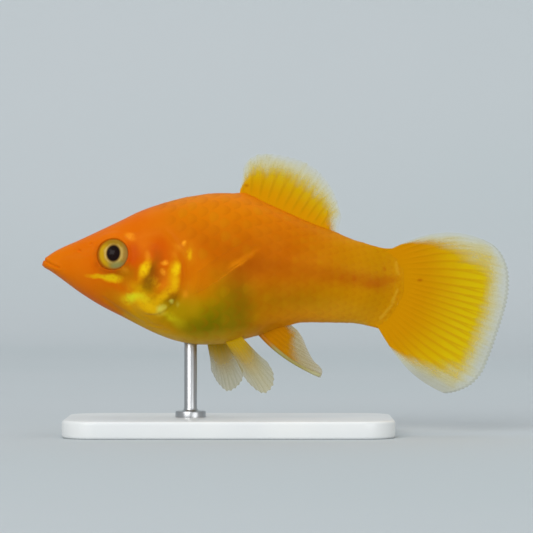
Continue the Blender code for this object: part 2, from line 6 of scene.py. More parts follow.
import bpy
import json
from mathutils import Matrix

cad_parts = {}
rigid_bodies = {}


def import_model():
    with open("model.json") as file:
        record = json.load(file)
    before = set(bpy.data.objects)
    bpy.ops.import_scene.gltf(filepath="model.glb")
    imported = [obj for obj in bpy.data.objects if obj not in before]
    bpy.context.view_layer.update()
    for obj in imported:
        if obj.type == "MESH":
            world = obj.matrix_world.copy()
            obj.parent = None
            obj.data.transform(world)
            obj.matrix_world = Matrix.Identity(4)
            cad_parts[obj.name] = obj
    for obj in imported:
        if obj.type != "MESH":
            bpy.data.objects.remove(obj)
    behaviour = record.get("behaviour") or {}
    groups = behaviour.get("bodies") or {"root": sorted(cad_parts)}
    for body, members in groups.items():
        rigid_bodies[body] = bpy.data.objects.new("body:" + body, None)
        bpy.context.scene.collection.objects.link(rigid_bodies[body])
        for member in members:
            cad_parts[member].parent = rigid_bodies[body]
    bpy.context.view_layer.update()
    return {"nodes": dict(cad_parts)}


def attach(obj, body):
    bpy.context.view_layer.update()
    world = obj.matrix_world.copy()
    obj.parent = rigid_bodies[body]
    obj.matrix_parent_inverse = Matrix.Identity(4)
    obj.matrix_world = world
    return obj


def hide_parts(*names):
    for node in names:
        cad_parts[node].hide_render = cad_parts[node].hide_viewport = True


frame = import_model()
print("solids:", sorted(frame["nodes"]))

# %% Tools and driving sizes
import json
import math

import bmesh
import bpy
import numpy as np
from mathutils import Vector

mm = 0.001
TOTAL_LENGTH = 80 * mm
SNOUT_HEIGHT = 29 * mm
SNOUT_X = -TOTAL_LENGTH / 2
SNOUT_PLACE = np.array([SNOUT_X, 0.0, SNOUT_HEIGHT])
SIDES = ((-1, "left"), (1, "right"))
print("snout at", SNOUT_X, "facing -X, left side facing -Y")

# %% [markdown]
# ## Lines of the body
# A fish is drawn from a few long curves: the back, the belly, and the half width seen from above. Each is
# kept as a handful of points in millimetres behind and above the snout, and a cubic that never overshoots
# runs through them. Working on whole arrays at once keeps a skin of many thousands of points quick.

# %% Curves through points
BACK_LINE = (
    (0, 0), (0.5, 1), (1.4, 1.8), (3.1, 2.8), (6.5, 4.3), (13.3, 7.5), (16.8, 9.2), (20.2, 10.4),
    (25.3, 11.7), (30.4, 12.3), (33.8, 12.1), (38.5, 10.1), (47, 6.4), (54.3, 4), (59.5, 2.8),
    (66, 3),
)
BELLY_LINE = (
    (0, 0), (0.5, -0.5), (1.4, -1), (3.1, -2.2), (6.5, -4.7), (10, -6.9), (13.3, -8.6), (20.2, -12),
    (23.6, -13.1), (27, -13.6), (30.4, -13.5), (35.5, -12.4), (40.3, -10.4), (44.1, -9.8), (52.6, -9.9),
    (57.4, -10.8), (66, -13.5),
)
HALF_WIDTH = (
    (0, 0), (0.4, 1), (1.4, 1.75), (3.1, 2.4), (6.5, 3.5), (10, 4.45), (13.3, 5), (17, 5.5),
    (21, 5.85), (27, 6.1), (31, 5.9), (36, 5.2), (41, 4.4), (46, 3.7), (51, 3), (55, 2.3),
    (61, 1.1), (66, 0.9),
)
WIDEST_HEIGHT = (
    (0, 0), (5, -0.4), (12, -0.6), (20, -2), (28, -4.2), (36, -3), (46, -1.9), (58, -4),
    (66, -4.5),
)
BACK_FULLNESS = ((0, 2.6), (8, 2.9), (18, 2.4), (30, 2), (66, 2))
BELLY_FULLNESS = ((0, 2.2), (14, 2.1), (27, 2.4), (44, 2), (66, 2))


def cubic(start, end, leaving, arriving, t):
    """From start to end as t goes from 0 to 1, with the slopes given for its two ends."""
    return (
        start * (1 + 2 * t) * (1 - t) ** 2
        + leaving * t * (1 - t) ** 2
        + end * t * t * (3 - 2 * t)
        + arriving * t * t * (t - 1)
    )


def smooth_curve(points):
    """A function of x through (x, y) points that never overshoots them."""
    xs, ys = (np.array(row, float) for row in zip(*points))
    slopes = np.diff(ys) / np.diff(xs)
    before, after = slopes[:-1], slopes[1:]
    same_way = before * after > 0
    inner = np.where(same_way, 2 * before * after / np.where(same_way, before + after, 1.0), 0.0)
    tangents = np.concatenate([slopes[:1], inner, slopes[-1:]])

    def value(x):
        i = np.clip(np.searchsorted(xs, x) - 1, 0, len(xs) - 2)
        width = xs[i + 1] - xs[i]
        t = np.clip((x - xs[i]) / width, 0.0, 1.0)
        return cubic(ys[i], ys[i + 1], tangents[i] * width, tangents[i + 1] * width, t)

    return value


def smooth_path(points, closed=False):
    """A function of t from 0 to 1 through points of the plane, paced by the distance between them."""
    ring = [points[-1], *points, points[0], points[1]] if closed else points
    corners = np.array(ring, float)
    steps = np.linalg.norm(np.diff(corners, axis=0), axis=1)
    reach = np.concatenate([[0.0], np.cumsum(steps)])
    tangents = np.gradient(corners, reach, axis=0)
    if closed:
        corners, tangents, reach = corners[1:-1], tangents[1:-1], reach[1:-1] - reach[1]
    tangents = tangents * reach[-1]
    reach = reach / reach[-1]

    def place(t):
        t = np.asarray(t, float)
        i = np.clip(np.searchsorted(reach, t) - 1, 0, len(reach) - 2)
        width = (reach[i + 1] - reach[i])[..., None]
        share = np.clip((t - reach[i])[..., None] / width, 0.0, 1.0)
        return cubic(corners[i], corners[i + 1], tangents[i] * width, tangents[i + 1] * width, share)

    return place


def ease(t):
    """0 below 0, 1 above 1, and a smooth step between."""
    t = np.clip(t, 0.0, 1.0)
    return t * t * (3 - 2 * t)


def unit(ways):
    """Directions made one long. One with no length stays as it is."""
    length = np.linalg.norm(ways, axis=-1, keepdims=True)
    return ways / np.where(length > 1e-15, length, 1.0)


def normals(surface, a, b, step=1e-3):
    """Unit normals of surface(a, b), found from small steps to each side."""
    along_a = surface(a + step, b) - surface(a - step, b)
    return unit(np.cross(along_a, surface(a, b + step) - surface(a, b - step)))


def bump(distance, width):
    """A soft hump, 1 where the distance is 0."""
    return np.exp(-((distance / width) ** 2))


back_line, belly_line, half_width = map(smooth_curve, (BACK_LINE, BELLY_LINE, HALF_WIDTH))
widest_height, back_fullness, belly_fullness = map(
    smooth_curve, (WIDEST_HEIGHT, BACK_FULLNESS, BELLY_FULLNESS)
)
print("deepest body:", round(float(back_line(28) - belly_line(28)), 1), "mm")

# %% [markdown]
# ## The body's surface
# Each cross-section is a superellipse, rounder or squarer in its upper and lower halves. A place on the
# surface is named by its distance behind the snout and its turn from the back, 0, down to the belly, pi.
# The scaled body ends on an arc at the tail, so the sections near it are bent back to that arc and
# thinned, and the tail fin's rays grow out of them without a step.

# %% Places on the bare surface
TAIL_ARC = ((57.4, -10.8), (58.6, -9.1), (60, -7), (61.1, -4.4), (61.2, -1.7), (60.7, 0.6), (59.5, 2.8))
ARC_REACH = 61.2
SKIN_PAST_ARC = 1.0
SKIN_END = ARC_REACH + SKIN_PAST_ARC
BEND_START = 47.0
THIN_LENGTH = 7.0
THIN_LEFT = 0.20
END_ROUNDING = 0.3
tail_arc = smooth_curve([(above, behind) for behind, above in TAIL_ARC])


def at(behind, across, above):
    """World places in metres of points given in mm behind, across and above the snout."""
    return np.stack(np.broadcast_arrays(behind, across, above), axis=-1) * mm + SNOUT_PLACE


def half_section(behind, upper):
    """Height of a section's widest place, and the reach and fullness of its upper or lower half."""
    widest = widest_height(behind)
    reach = np.where(upper, back_line(behind) - widest, widest - belly_line(behind))
    return widest, reach, np.where(upper, back_fullness(behind), belly_fullness(behind))


def section_height(behind, turn):
    """Height above the snout of a place on a section, and the section's fullness there."""
    rise = np.cos(turn)
    widest, reach, fullness = half_section(behind, rise >= 0)
    return widest + reach * np.sign(rise) * np.abs(rise) ** (2 / fullness), fullness


def bare_surface(behind, turn, side):
    """Places in metres on the body with none of its details. All three may be arrays."""
    bend = ease((behind - BEND_START) / (SKIN_END - BEND_START))
    bent = behind + 0.0
    for _ in range(4):
        above, fullness = section_height(bent, turn)
        bent = behind + bend * (tail_arc(above) - ARC_REACH)
    left = tail_arc(above) + SKIN_PAST_ARC - bent
    thin = np.where(behind > BEND_START, THIN_LEFT + (1 - THIN_LEFT) * ease(left / THIN_LENGTH), 1.0)
    thin = thin * np.sqrt(np.clip((SKIN_END - behind) / END_ROUNDING, 0.0, 1.0))
    sideways = np.sin(turn)
    across = half_width(bent) * thin * np.sign(sideways) * np.abs(sideways) ** (2 / fullness)
    return at(bent, side * across, above)


def rounded(share, fullness):
    """How wide a half section still is at a share of its reach, where 1 is its full width."""
    return (1 - np.clip(share, 0.0, 1.0) ** fullness) ** (1 / fullness)


def flank_width(behind, above):
    """Distance in mm from the middle plane to the flank, at a place in the side view."""
    widest, reach, fullness = half_section(behind, above >= widest_height(behind))
    return half_width(behind) * rounded(np.abs(above - widest) / reach, fullness)


def belly_height(behind, across):
    """Height of the underside, at a distance in mm from the middle plane."""
    widest, reach, fullness = half_section(behind, False)
    return widest - reach * rounded(np.abs(across) / half_width(behind), fullness)


print("body surface ready, from the snout to", SKIN_END, "mm")

# %% [markdown]
# ## Details pushed into the skin
# The real head is one sheet of skin over thin bones. The gill cover stands a little proud, its rear edge
# free over a slit. The eye sits in a round rim, the lips roll over the mouth's line, and two small
# nostrils lie in front of each eye. All of these are heights above the bare surface, found from the
# distance to a line or outline drawn in the side view, so one mesh carries them with no seam.

# %% Lines and outlines of the head
MOUTH_LINE = ((-1, 2.1), (0.35, 0.95), (1.6, 0.15), (3, -0.45))
GILL_OUTLINE = (
    (17, 3.2), (15.5, 0.4), (15.1, -3), (16, -6.2), (18, -8.2), (20.6, -8), (22.9, -5.6),
    (24.1, -2.5), (23.8, 0.5), (22.2, 3), (19.6, 4.2),
)
CHEEK_LINE = ((14.9, 4.4), (13.9, 1.6), (13.6, -1.8), (14.3, -5), (16, -7.9), (18.6, -9.9))
THROAT_LINES = (
    ((10.5, -5.6), (14.2, -8), (17.6, -9.9), (20.6, -10.6)),
    ((12.5, -7.3), (16, -9.4), (19.2, -11), (21.6, -11.2)),
)
SHOULDER_LINE = (
    (20.4, 7.2), (23, 4), (24.7, 0.8), (25, -2.6), (23.7, -6.2), (21.2, -9.4), (18.6, -12)
)
NOSTRILS = ((6.6, 2.5), (8.5, 3.6))
GILL_STEP, SHOULDER_GROOVE, CHEEK_GROOVE, THROAT_FOLD = 0.26, 0.12, 0.1, 0.10
LIP_ROLL, MOUTH_GROOVE, NOSTRIL_RIM, NOSTRIL_PIT = 0.08, 0.16, 0.04, 0.22
BACK_RIDGE, VENT_RIDGE = 0.4, 0.35


def drawn(points, count=32, closed=False):
    """Many places along the smooth line through a few."""
    return smooth_path(points, closed)(np.linspace(0.0, 1.0, count))


def line_distance(behind, above, points):
    """Distance in mm from each place to a line through many points."""
    nearest = np.full(np.shape(behind), 1e9)
    for (x0, y0), (x1, y1) in zip(points[:-1], points[1:]):
        dx, dy = x1 - x0, y1 - y0
        t = np.clip(((behind - x0) * dx + (above - y0) * dy) / (dx * dx + dy * dy), 0.0, 1.0)
        nearest = np.minimum(nearest, np.hypot(behind - x0 - t * dx, above - y0 - t * dy))
    return nearest


def depth_inside(behind, above, points):
    """Distance in mm to a closed outline, positive inside it."""
    inside = np.zeros(np.shape(behind), bool)
    for (x0, y0), (x1, y1) in zip(points[:-1], points[1:]):
        if y0 != y1:
            inside ^= ((y0 > above) != (y1 > above)) & (behind < x0 + (above - y0) * (x1 - x0) / (y1 - y0))
    distance = line_distance(behind, above, points)
    return np.where(inside, distance, -distance)


gill_ring = drawn(GILL_OUTLINE, 48, closed=True)
mouth_path = drawn(MOUTH_LINE, 24)
mouth_path = mouth_path[mouth_path[:, 0] > 0.2]
shoulder_path, cheek_path = drawn(SHOULDER_LINE, 24), drawn(CHEEK_LINE, 20)
throat_paths = [drawn(line, 12) for line in THROAT_LINES]
print("gill cover outline has", len(gill_ring), "points")

# %% The eyes' places
EYE_PLACE = (12.3, 1.8)
EYE_FORWARD = math.radians(10)
EYE_UPWARD = math.radians(10)
EYE_RIM = 2.85


def eye_axis(side):
    """Which way an eye looks, and the place on the flank under its middle."""
    facing = np.array([-math.sin(EYE_FORWARD), side * math.cos(EYE_FORWARD), math.sin(EYE_UPWARD)])
    behind, above = EYE_PLACE
    return unit(facing), at(behind, side * flank_width(behind, above), above)


eye_middles = [eye_axis(side)[1] for side, _ in SIDES]
print("eyes", round(float(np.linalg.norm(eye_middles[0] - eye_middles[1])) / mm, 1), "mm apart")


# %% Heights above the bare surface
def detail_height(behind, above, across):
    """Height in mm of the head's and fin bases' details at places in the side view."""
    height = np.zeros(np.shape(behind))
    head = behind < 27.0
    x, y = behind[head], above[head]
    softness = 0.25 + 1.2 * ease((19.5 - x) / 4.0) + 1.6 * ease(y / 2.5)
    low = GILL_STEP * ease(depth_inside(x, y, gill_ring) / softness + 0.5)
    shoulder = bump(line_distance(x, y, shoulder_path), 0.40) * ease((y + 11.5) / 3) * ease((7.0 - y) / 3)
    low -= SHOULDER_GROOVE * shoulder
    low -= CHEEK_GROOVE * bump(line_distance(x, y, cheek_path), 0.35)
    for line in throat_paths:
        low -= THROAT_FOLD * bump(line_distance(x, y, line), 0.28)
    mouth = line_distance(x, y, mouth_path)
    low += LIP_ROLL * bump(mouth - 0.40, 0.30) - MOUTH_GROOVE * bump(mouth, 0.12)
    for nostril_x, nostril_y in NOSTRILS:
        away = np.hypot(x - nostril_x, y - nostril_y)
        low += NOSTRIL_RIM * bump(away - 0.40, 0.16) - NOSTRIL_PIT * bump(away, 0.20)
    height[head] = low
    back = ease((behind - 32.0) / 3.0) * ease((54.0 - behind) / 5.0) * (above > 0)
    height += BACK_RIDGE * back * bump(across, 0.75)
    vent = ease((behind - 35.6) / 2.2) * ease((45.0 - behind) / 3.2) * (above < 0)
    height += VENT_RIDGE * vent * bump(across, 0.8)
    return height


def set_eye_sockets(places):
    """Pulls the skin near each eye to a round rim, with a bed under the eyeball."""
    for side, _ in SIDES:
        facing, centre = eye_axis(side)
        offset = places - centre
        level = offset @ facing
        radius = np.linalg.norm(offset - level[..., None] * facing, axis=-1) / mm
        rim = 0.12 * bump(radius - EYE_RIM, 0.30) - 1.3 * ease((EYE_RIM - 0.10 - radius) / 0.4)
        pull = ease((EYE_RIM + 1.5 - radius) / 1.5) * (places[..., 1] * side > 0)
        places = places + (pull * (rim * mm - level))[..., None] * facing
    return places


def skin_surface(behind, turn, side, lift=0.0):
    """Places on the finished skin, or lifted above it by a height in mm."""
    base = bare_surface(behind, turn, side)
    facing = normals(lambda back, around: bare_surface(back, around, side), behind, turn)
    seen = (base - SNOUT_PLACE) / mm
    height = detail_height(seen[..., 0], seen[..., 2], np.abs(seen[..., 1])) + lift
    return set_eye_sockets(base + facing * (height * mm * side)[..., None])


probe = skin_surface(np.array([20.0]), np.array([1.4]), -1)
print("a place on the left gill cover:", np.round(probe[0] / mm, 2), "mm")

# %% [markdown]
# ## Shader arithmetic
# A material is a tree of nodes. One small class wraps a socket, so that an ordinary sum such as
# `1 - mask` adds the Math node it stands for. Markings can then be written like the drawings they are.

# %% The wire class
def pair_node(operation, swapped=False):
    """An operator for the class below. It adds one Math node, fed by the wire and another value."""

    def added(self, other):
        return self.math(operation, *((other, self) if swapped else (self, other)))

    return added


class Wire:
    """One socket in a material's node tree. Sums of wires add Math nodes to it."""

    def __init__(self, tree, socket=None):
        self.tree = tree
        self.socket = socket

    def node(self, kind, settings=None, inputs=None, output=0):
        """Adds a node, makes its settings, then fills its sockets with values or wires."""
        made = self.tree.nodes.new("ShaderNode" + kind)
        for name, value in (settings or {}).items():
            setattr(made, name, value)
        for name, value in (inputs or {}).items():
            if isinstance(value, Wire):
                self.tree.links.new(value.socket, made.inputs[name])
            else:
                made.inputs[name].default_value = value
        return Wire(self.tree, made.outputs[output]) if made.outputs else None

    def out(self, name):
        """Another output of the node that this wire leaves."""
        return Wire(self.tree, self.socket.node.outputs[name])

    def math(self, operation, *values):
        return self.node("Math", {"operation": operation}, dict(enumerate(values)))

    def root(self):
        return self.math("SQRT", self)

    __add__ = __radd__ = pair_node("ADD")
    __mul__ = __rmul__ = pair_node("MULTIPLY")
    __sub__, __rsub__ = pair_node("SUBTRACT"), pair_node("SUBTRACT", swapped=True)
    over, larger, smaller = pair_node("DIVIDE"), pair_node("MAXIMUM"), pair_node("MINIMUM")

    def step(self, low, high):
        """0 at low and 1 at high, or the other way round, smooth between."""
        ends = {"Value": self, "From Min": low, "From Max": high}
        if low > high:
            ends.update({"From Min": high, "From Max": low, "To Min": 1.0, "To Max": 0.0})
        return self.node("MapRange", {"interpolation_type": "SMOOTHSTEP"}, ends)

    def mixed(self, low, high):
        """A colour between two, with this wire as the mask."""
        return self.node("Mix", {"data_type": "RGBA"}, {0: self, 6: low, 7: high}, output=2)

    def bumps(self, strength, depth):
        """A normal for a surface with this wire as its height, depth metres deep."""
        return self.node("Bump", {}, {"Height": self, "Strength": strength, "Distance": depth})


def layered(colour, layers):
    """A colour with paints laid over it one by one, each through its mask."""
    for mask, over in layers:
        colour = mask.mixed(colour, over)
    return colour


def paint(red, green, blue):
    """A colour given as on a screen, 0 to 255, in the linear values that a shader wants."""
    shares = [value / 255 for value in (red, green, blue)]
    return (*[s / 12.92 if s <= 0.04045 else ((s + 0.055) / 1.055) ** 2.4 for s in shares], 1.0)


def new_material(name):
    material = bpy.data.materials.new(name)
    material.use_nodes = True
    material.node_tree.nodes.clear()
    return material, Wire(material.node_tree)


def shade(made, inputs):
    """Ends a material with one Principled shader, given by the names of its own sockets."""
    shader = made.node("BsdfPrincipled", inputs=inputs)
    made.node("OutputMaterial", inputs={"Surface": shader})


def object_place(made):
    return made.node("TexCoord", output="Object")


def kept_value(made, name):
    """The number that the mesh keeps for each of its points under a name."""
    return made.node("Attribute", {"attribute_name": name}, output="Fac")


def noise(made, where, size, detail=2.0, stretch=None):
    """Soft random values about 0.5, with blotches about size metres across."""
    if stretch:
        where = made.node("Mapping", inputs={"Vector": where, "Scale": stretch})
    inputs = {"Vector": where, "Scale": 1 / size, "Detail": detail}
    return made.node("TexNoise", inputs=inputs, output="Fac")


print("an orange as a shader sees it:", [round(value, 3) for value in paint(220, 121, 2)])

# %% [markdown]
# ## The markings
# A gold molly is deep orange on the back and cheeks, yellower towards the tail, and green-brown low on
# the belly where the wall is thin. The gill covers carry metallic gold and yellow-green patches. Each
# marking is a soft line or spot drawn in the side view, in millimetres, with its edge broken up by noise.
# Skin and scales both take their colour from this one function, so they can't disagree. Some of the soft
# tints are painted shade, round the eye's socket, in the gill cover's hollow and under the pectoral fin, and
# some are painted light, on the underside and along the pectoral fin's edge, with a small painted highlight
# behind the eye.

# %% Drawing on the side view
def side_view(made, waver=0.5):
    """Millimetres behind the snout, across and above it, shaken a little so that drawn edges look grown."""
    where = object_place(made)
    parts = made.node("SeparateXYZ", inputs={"Vector": where})
    shake = noise(made, where, 1.6 * mm, 3.0) - 0.5
    other_shake = noise(made, where, 2.1 * mm, 3.0) - 0.5
    behind = (parts - SNOUT_X) * (1 / mm) + shake * (2 * waver)
    above = (parts.out("Z") - SNOUT_HEIGHT) * (1 / mm) + other_shake * (2 * waver)
    return where, behind, above


def streak(behind, above, start, end, width, soft):
    """A soft mask along a short line: 1 within width of it, fading to 0 over soft."""
    run, rise = end[0] - start[0], end[1] - start[1]
    square = max(run * run + rise * rise, 1e-6)
    share = (behind - start[0]) * (run / square) + (above - start[1]) * (rise / square)
    share = share.node("Clamp", inputs={"Value": share})
    aside = behind - start[0] - share * run
    up = above - start[1] - share * rise
    return (aside * aside + up * up).root().step(width + soft, width)


def spot(behind, above, middle, radii, soft, lean=0.0):
    """A soft oval mask. soft is a share of its radii, lean its tilt in degrees."""
    turn = math.radians(lean)
    aside, up = behind - middle[0], above - middle[1]
    along = (aside * math.cos(turn) + up * math.sin(turn)) * (1 / radii[0])
    beside = (up * math.cos(turn) - aside * math.sin(turn)) * (1 / radii[1])
    return (along * along + beside * beside).root().step(1 + soft, max(1 - soft, 0.0))


print("drawn edges waver by half a millimetre at most")

# %% Colours of the skin
BACK, FLANK, NAPE = paint(213, 116, 1), paint(191, 94, 1), paint(213, 99, 1)
SNOUT, CHEEK, TAIL_STALK = paint(213, 106, 2), paint(203, 95, 1), paint(193, 129, 1)
# The belly's pale yellow on the next line is its own colour, made lighter still as painted light against the
# shade under the body.
LOW_FLANK, BELLY, THROAT = paint(167, 107, 1), paint(192, 148, 10), paint(182, 114, 3)
# The third paint of the next line is the pale gold of the last scales' lines, and also painted light on the
# belly's lower edge.
BAND, BAND_END, PALE_SCALES_AND_LIGHT = paint(174, 84, 1), paint(176, 74, 2), paint(214, 164, 40)
GREEN, OLIVE, RED_ORANGE = paint(112, 102, 0), paint(160, 134, 1), paint(196, 60, 1)
# On the next line, the first paint, a dark olive, is painted shade in the gill cover's hollow and under the
# pectoral fin, and the skin's own dark olive elsewhere. The second, a brown, is painted shade round the eye
# and under the pectoral fin, and the colour of dark spots elsewhere.
DARK_OLIVE_AND_SHADE, UMBER, RIM = paint(112, 74, 4), paint(156, 66, 3), paint(190, 148, 52)
# Both paints of the next line are painted light. The first is a lighter orange for the low flank, where the
# underside turns from the lamps. The second is the highlight along the pectoral fin's lower edge.
UNDERSIDE_LIGHT, PECTORAL_HIGHLIGHT = paint(206, 124, 2), paint(220, 128, 6)
GOLD, LEMON, LIME = paint(224, 170, 8), paint(236, 198, 14), paint(222, 216, 30)
APRICOT, GLINT = paint(238, 154, 30), paint(212, 208, 84)

# Each oval's place behind and above the snout, its two radii, lean in degrees, softness, paint and
# strength, and for the bright patches how metallic they are
TINTS = (
    # painted shade: a darker ring round the eye's socket, reaching further below the eye than above it, and a
    # darker spot under the eye
    (12.3, 1.2, 3, 3, 0, 0.25, UMBER, 0.6),
    (13.8, -1, 1.4, 0.9, 0, 0.9, UMBER, 0.5),
    (15.6, 1.6, 1.5, 1.9, 0, 0.7, RED_ORANGE, 0.85),
    (20.1, 2.2, 1.7, 2.2, 0, 0.7, RED_ORANGE, 0.65),
    (20.1, 1.4, 0.8, 1.1, 0, 0.8, UMBER, 0.45),
    (14.6, -1.8, 1.5, 1.8, 10, 0.7, THROAT, 0.7),
    (14.5, -7, 4.5, 1.8, -32, 0.7, THROAT, 0.8),
    (18, -9.8, 3.6, 1.5, -30, 0.7, BELLY, 0.8),
    (30.4, -5.4, 5, 4, 0, 0.8, OLIVE, 0.6),
    (25.4, -8.8, 6, 3.4, -18, 0.7, OLIVE, 0.9),
    (31.8, -8.2, 3.6, 3.4, 30, 0.8, GREEN, 0.55),
    (31.2, -10, 5.4, 2.4, 8, 0.7, GREEN, 0.95),
    (27, -11, 3.2, 1.4, -14, 0.8, GREEN, 0.55),
    (34, -5.6, 1.8, 3.4, 10, 0.8, DARK_OLIVE_AND_SHADE, 0.35),
    # painted shadow of the pectoral fin on the flank below it
    (34.4, -1.4, 3.4, 1.8, 25, 0.8, UMBER, 0.4),
    (27.6, -1.8, 2.4, 3.2, 0, 0.9, BACK, 0.6),
    # painted highlight along the pectoral fin's lower edge, on the skin under the fin
    (33.2, 0.3, 1.4, 0.6, 32, 0.8, PECTORAL_HIGHLIGHT, 0.85),
    (35.3, 1.6, 1.8, 0.5, 36, 0.8, PECTORAL_HIGHLIGHT, 0.55),
    # painted light: the low flank over the anal fin's root, lightened where the underside turns from the
    # lamps
    (44.2, -9.9, 6.6, 2.3, -3, 0.8, UNDERSIDE_LIGHT, 0.95),
    # painted shade in the hollow between the gill cover's bones
    (19.6, -2.4, 0.7, 1, 0, 0.8, DARK_OLIVE_AND_SHADE, 0.4),
    (15.8, -1.2, 2.2, 1.1, 0, 0.9, DARK_OLIVE_AND_SHADE, 0.18),
    (21, -8.6, 6, 2.2, 0, 0.7, GREEN, 0.15),
    # painted shade just below the pectoral fin's margin
    (34, -4.4, 2.6, 1.6, 0, 0.9, DARK_OLIVE_AND_SHADE, 0.14),
    # painted light: the belly's lower edge lightened, where the underside turns from the lamps
    (33, -12.6, 8.5, 1.3, 3, 0.9, PALE_SCALES_AND_LIGHT, 0.35),
    (50, -8.8, 7, 2.4, -3, 0.8, PALE_SCALES_AND_LIGHT, 0.22),
    (21.2, -7.6, 2.8, 1.8, -20, 0.7, OLIVE, 0.8),
    (17.8, -4.2, 1.8, 1.7, 0, 0.8, OLIVE, 0.7),
    # painted shade in the hollow between the gill cover's bones
    (18.8, -1.6, 1, 2.2, -20, 0.7, DARK_OLIVE_AND_SHADE, 0.85),
    (20.1, -1.6, 1.1, 1.2, 0, 0.8, UMBER, 0.6),
    # painted shade in the hollow between the gill cover's bones
    (18.7, -3.4, 0.9, 1, 0, 0.8, DARK_OLIVE_AND_SHADE, 0.5),
    (22.2, -5.5, 1.3, 1.2, 30, 0.7, DARK_OLIVE_AND_SHADE, 0.55),
    (21.2, -3, 1, 1.5, 0, 0.8, APRICOT, 0.22),
)
PATCHES = (
    (9.9, -1.95, 1.9, 0.34, -4, 0.6, GOLD, 0.9, 0.2),
    (12.1, -2.2, 1.6, 0.66, -4, 0.6, LEMON, 0.9, 0.2),
    (17.75, -0.7, 0.72, 1.6, -26, 0.7, GOLD, 0.92, 0.2),
    (17.5, -0.7, 0.5, 0.9, -22, 0.8, LEMON, 0.75, 0.25),
    (18.3, 1.6, 0.4, 0.7, 0, 0.9, APRICOT, 0.4, 0.1),
    (16, -3.9, 1, 0.9, 0, 0.9, GOLD, 0.35, 0.1),
    (17, -4.9, 1.6, 0.8, -10, 0.9, GOLD, 0.4, 0.1),
    (17.5, -6.8, 3.3, 1.2, -17, 0.8, GOLD, 0.8, 0.1),
    (15.8, -5.5, 1.55, 0.7, 14, 0.8, LIME, 0.8, 0.2),
    (15.4, -5.2, 0.6, 0.5, 30, 0.8, LIME, 0.8, 0.3),
    (17.8, -5.9, 0.9, 0.55, -10, 0.9, LIME, 0.4, 0.2),
    (18.8, -7.1, 1.7, 0.8, -22, 0.9, LEMON, 0.4, 0.1),
    (21.25, 0.4, 0.52, 0.42, 0, 0.8, APRICOT, 1, 0.2),
    (21, -1.2, 0.42, 0.45, 0, 0.8, APRICOT, 0.8, 0.1),
    (22.8, -1.6, 0.88, 2.1, -6, 0.8, GOLD, 0.75, 0.15),
    (23.2, -0.7, 0.55, 0.85, -6, 0.8, LEMON, 0.92, 0.25),
    (23, -3.3, 0.6, 0.9, 0, 0.9, LEMON, 0.45, 0.1),
    (21.6, -4.6, 1.6, 0.58, 48, 0.8, GOLD, 0.8, 0.2),
    (20.3, -5.8, 1, 0.6, 25, 0.8, GOLD, 0.75, 0.2),
    (22.2, -6.2, 0.32, 0.3, 0, 0.9, GLINT, 0.6, 0.2),
    (23.4, -6.7, 0.3, 0.35, 0, 0.9, GLINT, 0.18, 0.1),
    (20.5, -7.4, 0.65, 0.5, 20, 0.9, GLINT, 0.7, 0.2),
    (20.3, -8.2, 0.9, 0.4, 0, 0.9, GLINT, 0.2, 0.1),
    (22.1, -8.8, 0.9, 0.6, -30, 0.9, LIME, 0.28, 0.1),
    (23.4, -9.7, 1.1, 0.7, -30, 0.9, LIME, 0.18, 0.1),
    (24.45, 3.65, 0.4, 0.4, 0, 0.8, APRICOT, 0.95, 0.2),
    (25.3, 1.9, 0.9, 1.6, 0, 0.9, GOLD, 0.2, 0),
    (25.3, 1.7, 0.34, 0.8, 4, 0.8, GOLD, 0.85, 0.2),
    (23.4, 3, 0.8, 0.45, -40, 0.9, APRICOT, 0.3, 0.1),
    (22.8, 1.8, 0.7, 0.6, 0, 0.9, APRICOT, 0.25, 0.1),
    (24.7, -5, 0.45, 0.6, 0, 0.9, APRICOT, 0.35, 0.1),
    # painted highlight: a small orange glint on the head, above and behind the eye
    (15.3, 4.8, 0.8, 0.5, -35, 0.8, APRICOT, 0.6, 0.1),
    (14.3, -0.9, 0.6, 0.45, 0, 0.9, APRICOT, 0.35, 0.1),
)
RIM_POINTS = ((14.5, -8.3), (17, -10.1), (20.2, -11.7), (24, -12.8), (28, -13.2), (31.5, -13.1))
RIM_LINES = (*zip(RIM_POINTS, RIM_POINTS[1:]), ((42, -10), (55, -10.2)))
SPECKS = ((51.2, -2.1), (53.3, -2.3), (58.6, -0.6))
STALK_LINES = (((60.5, 0.5), (60.9, -1.4)), ((60.7, -4.4), (59.9, -6.4)), ((59.7, -6.9), (58, -9)))


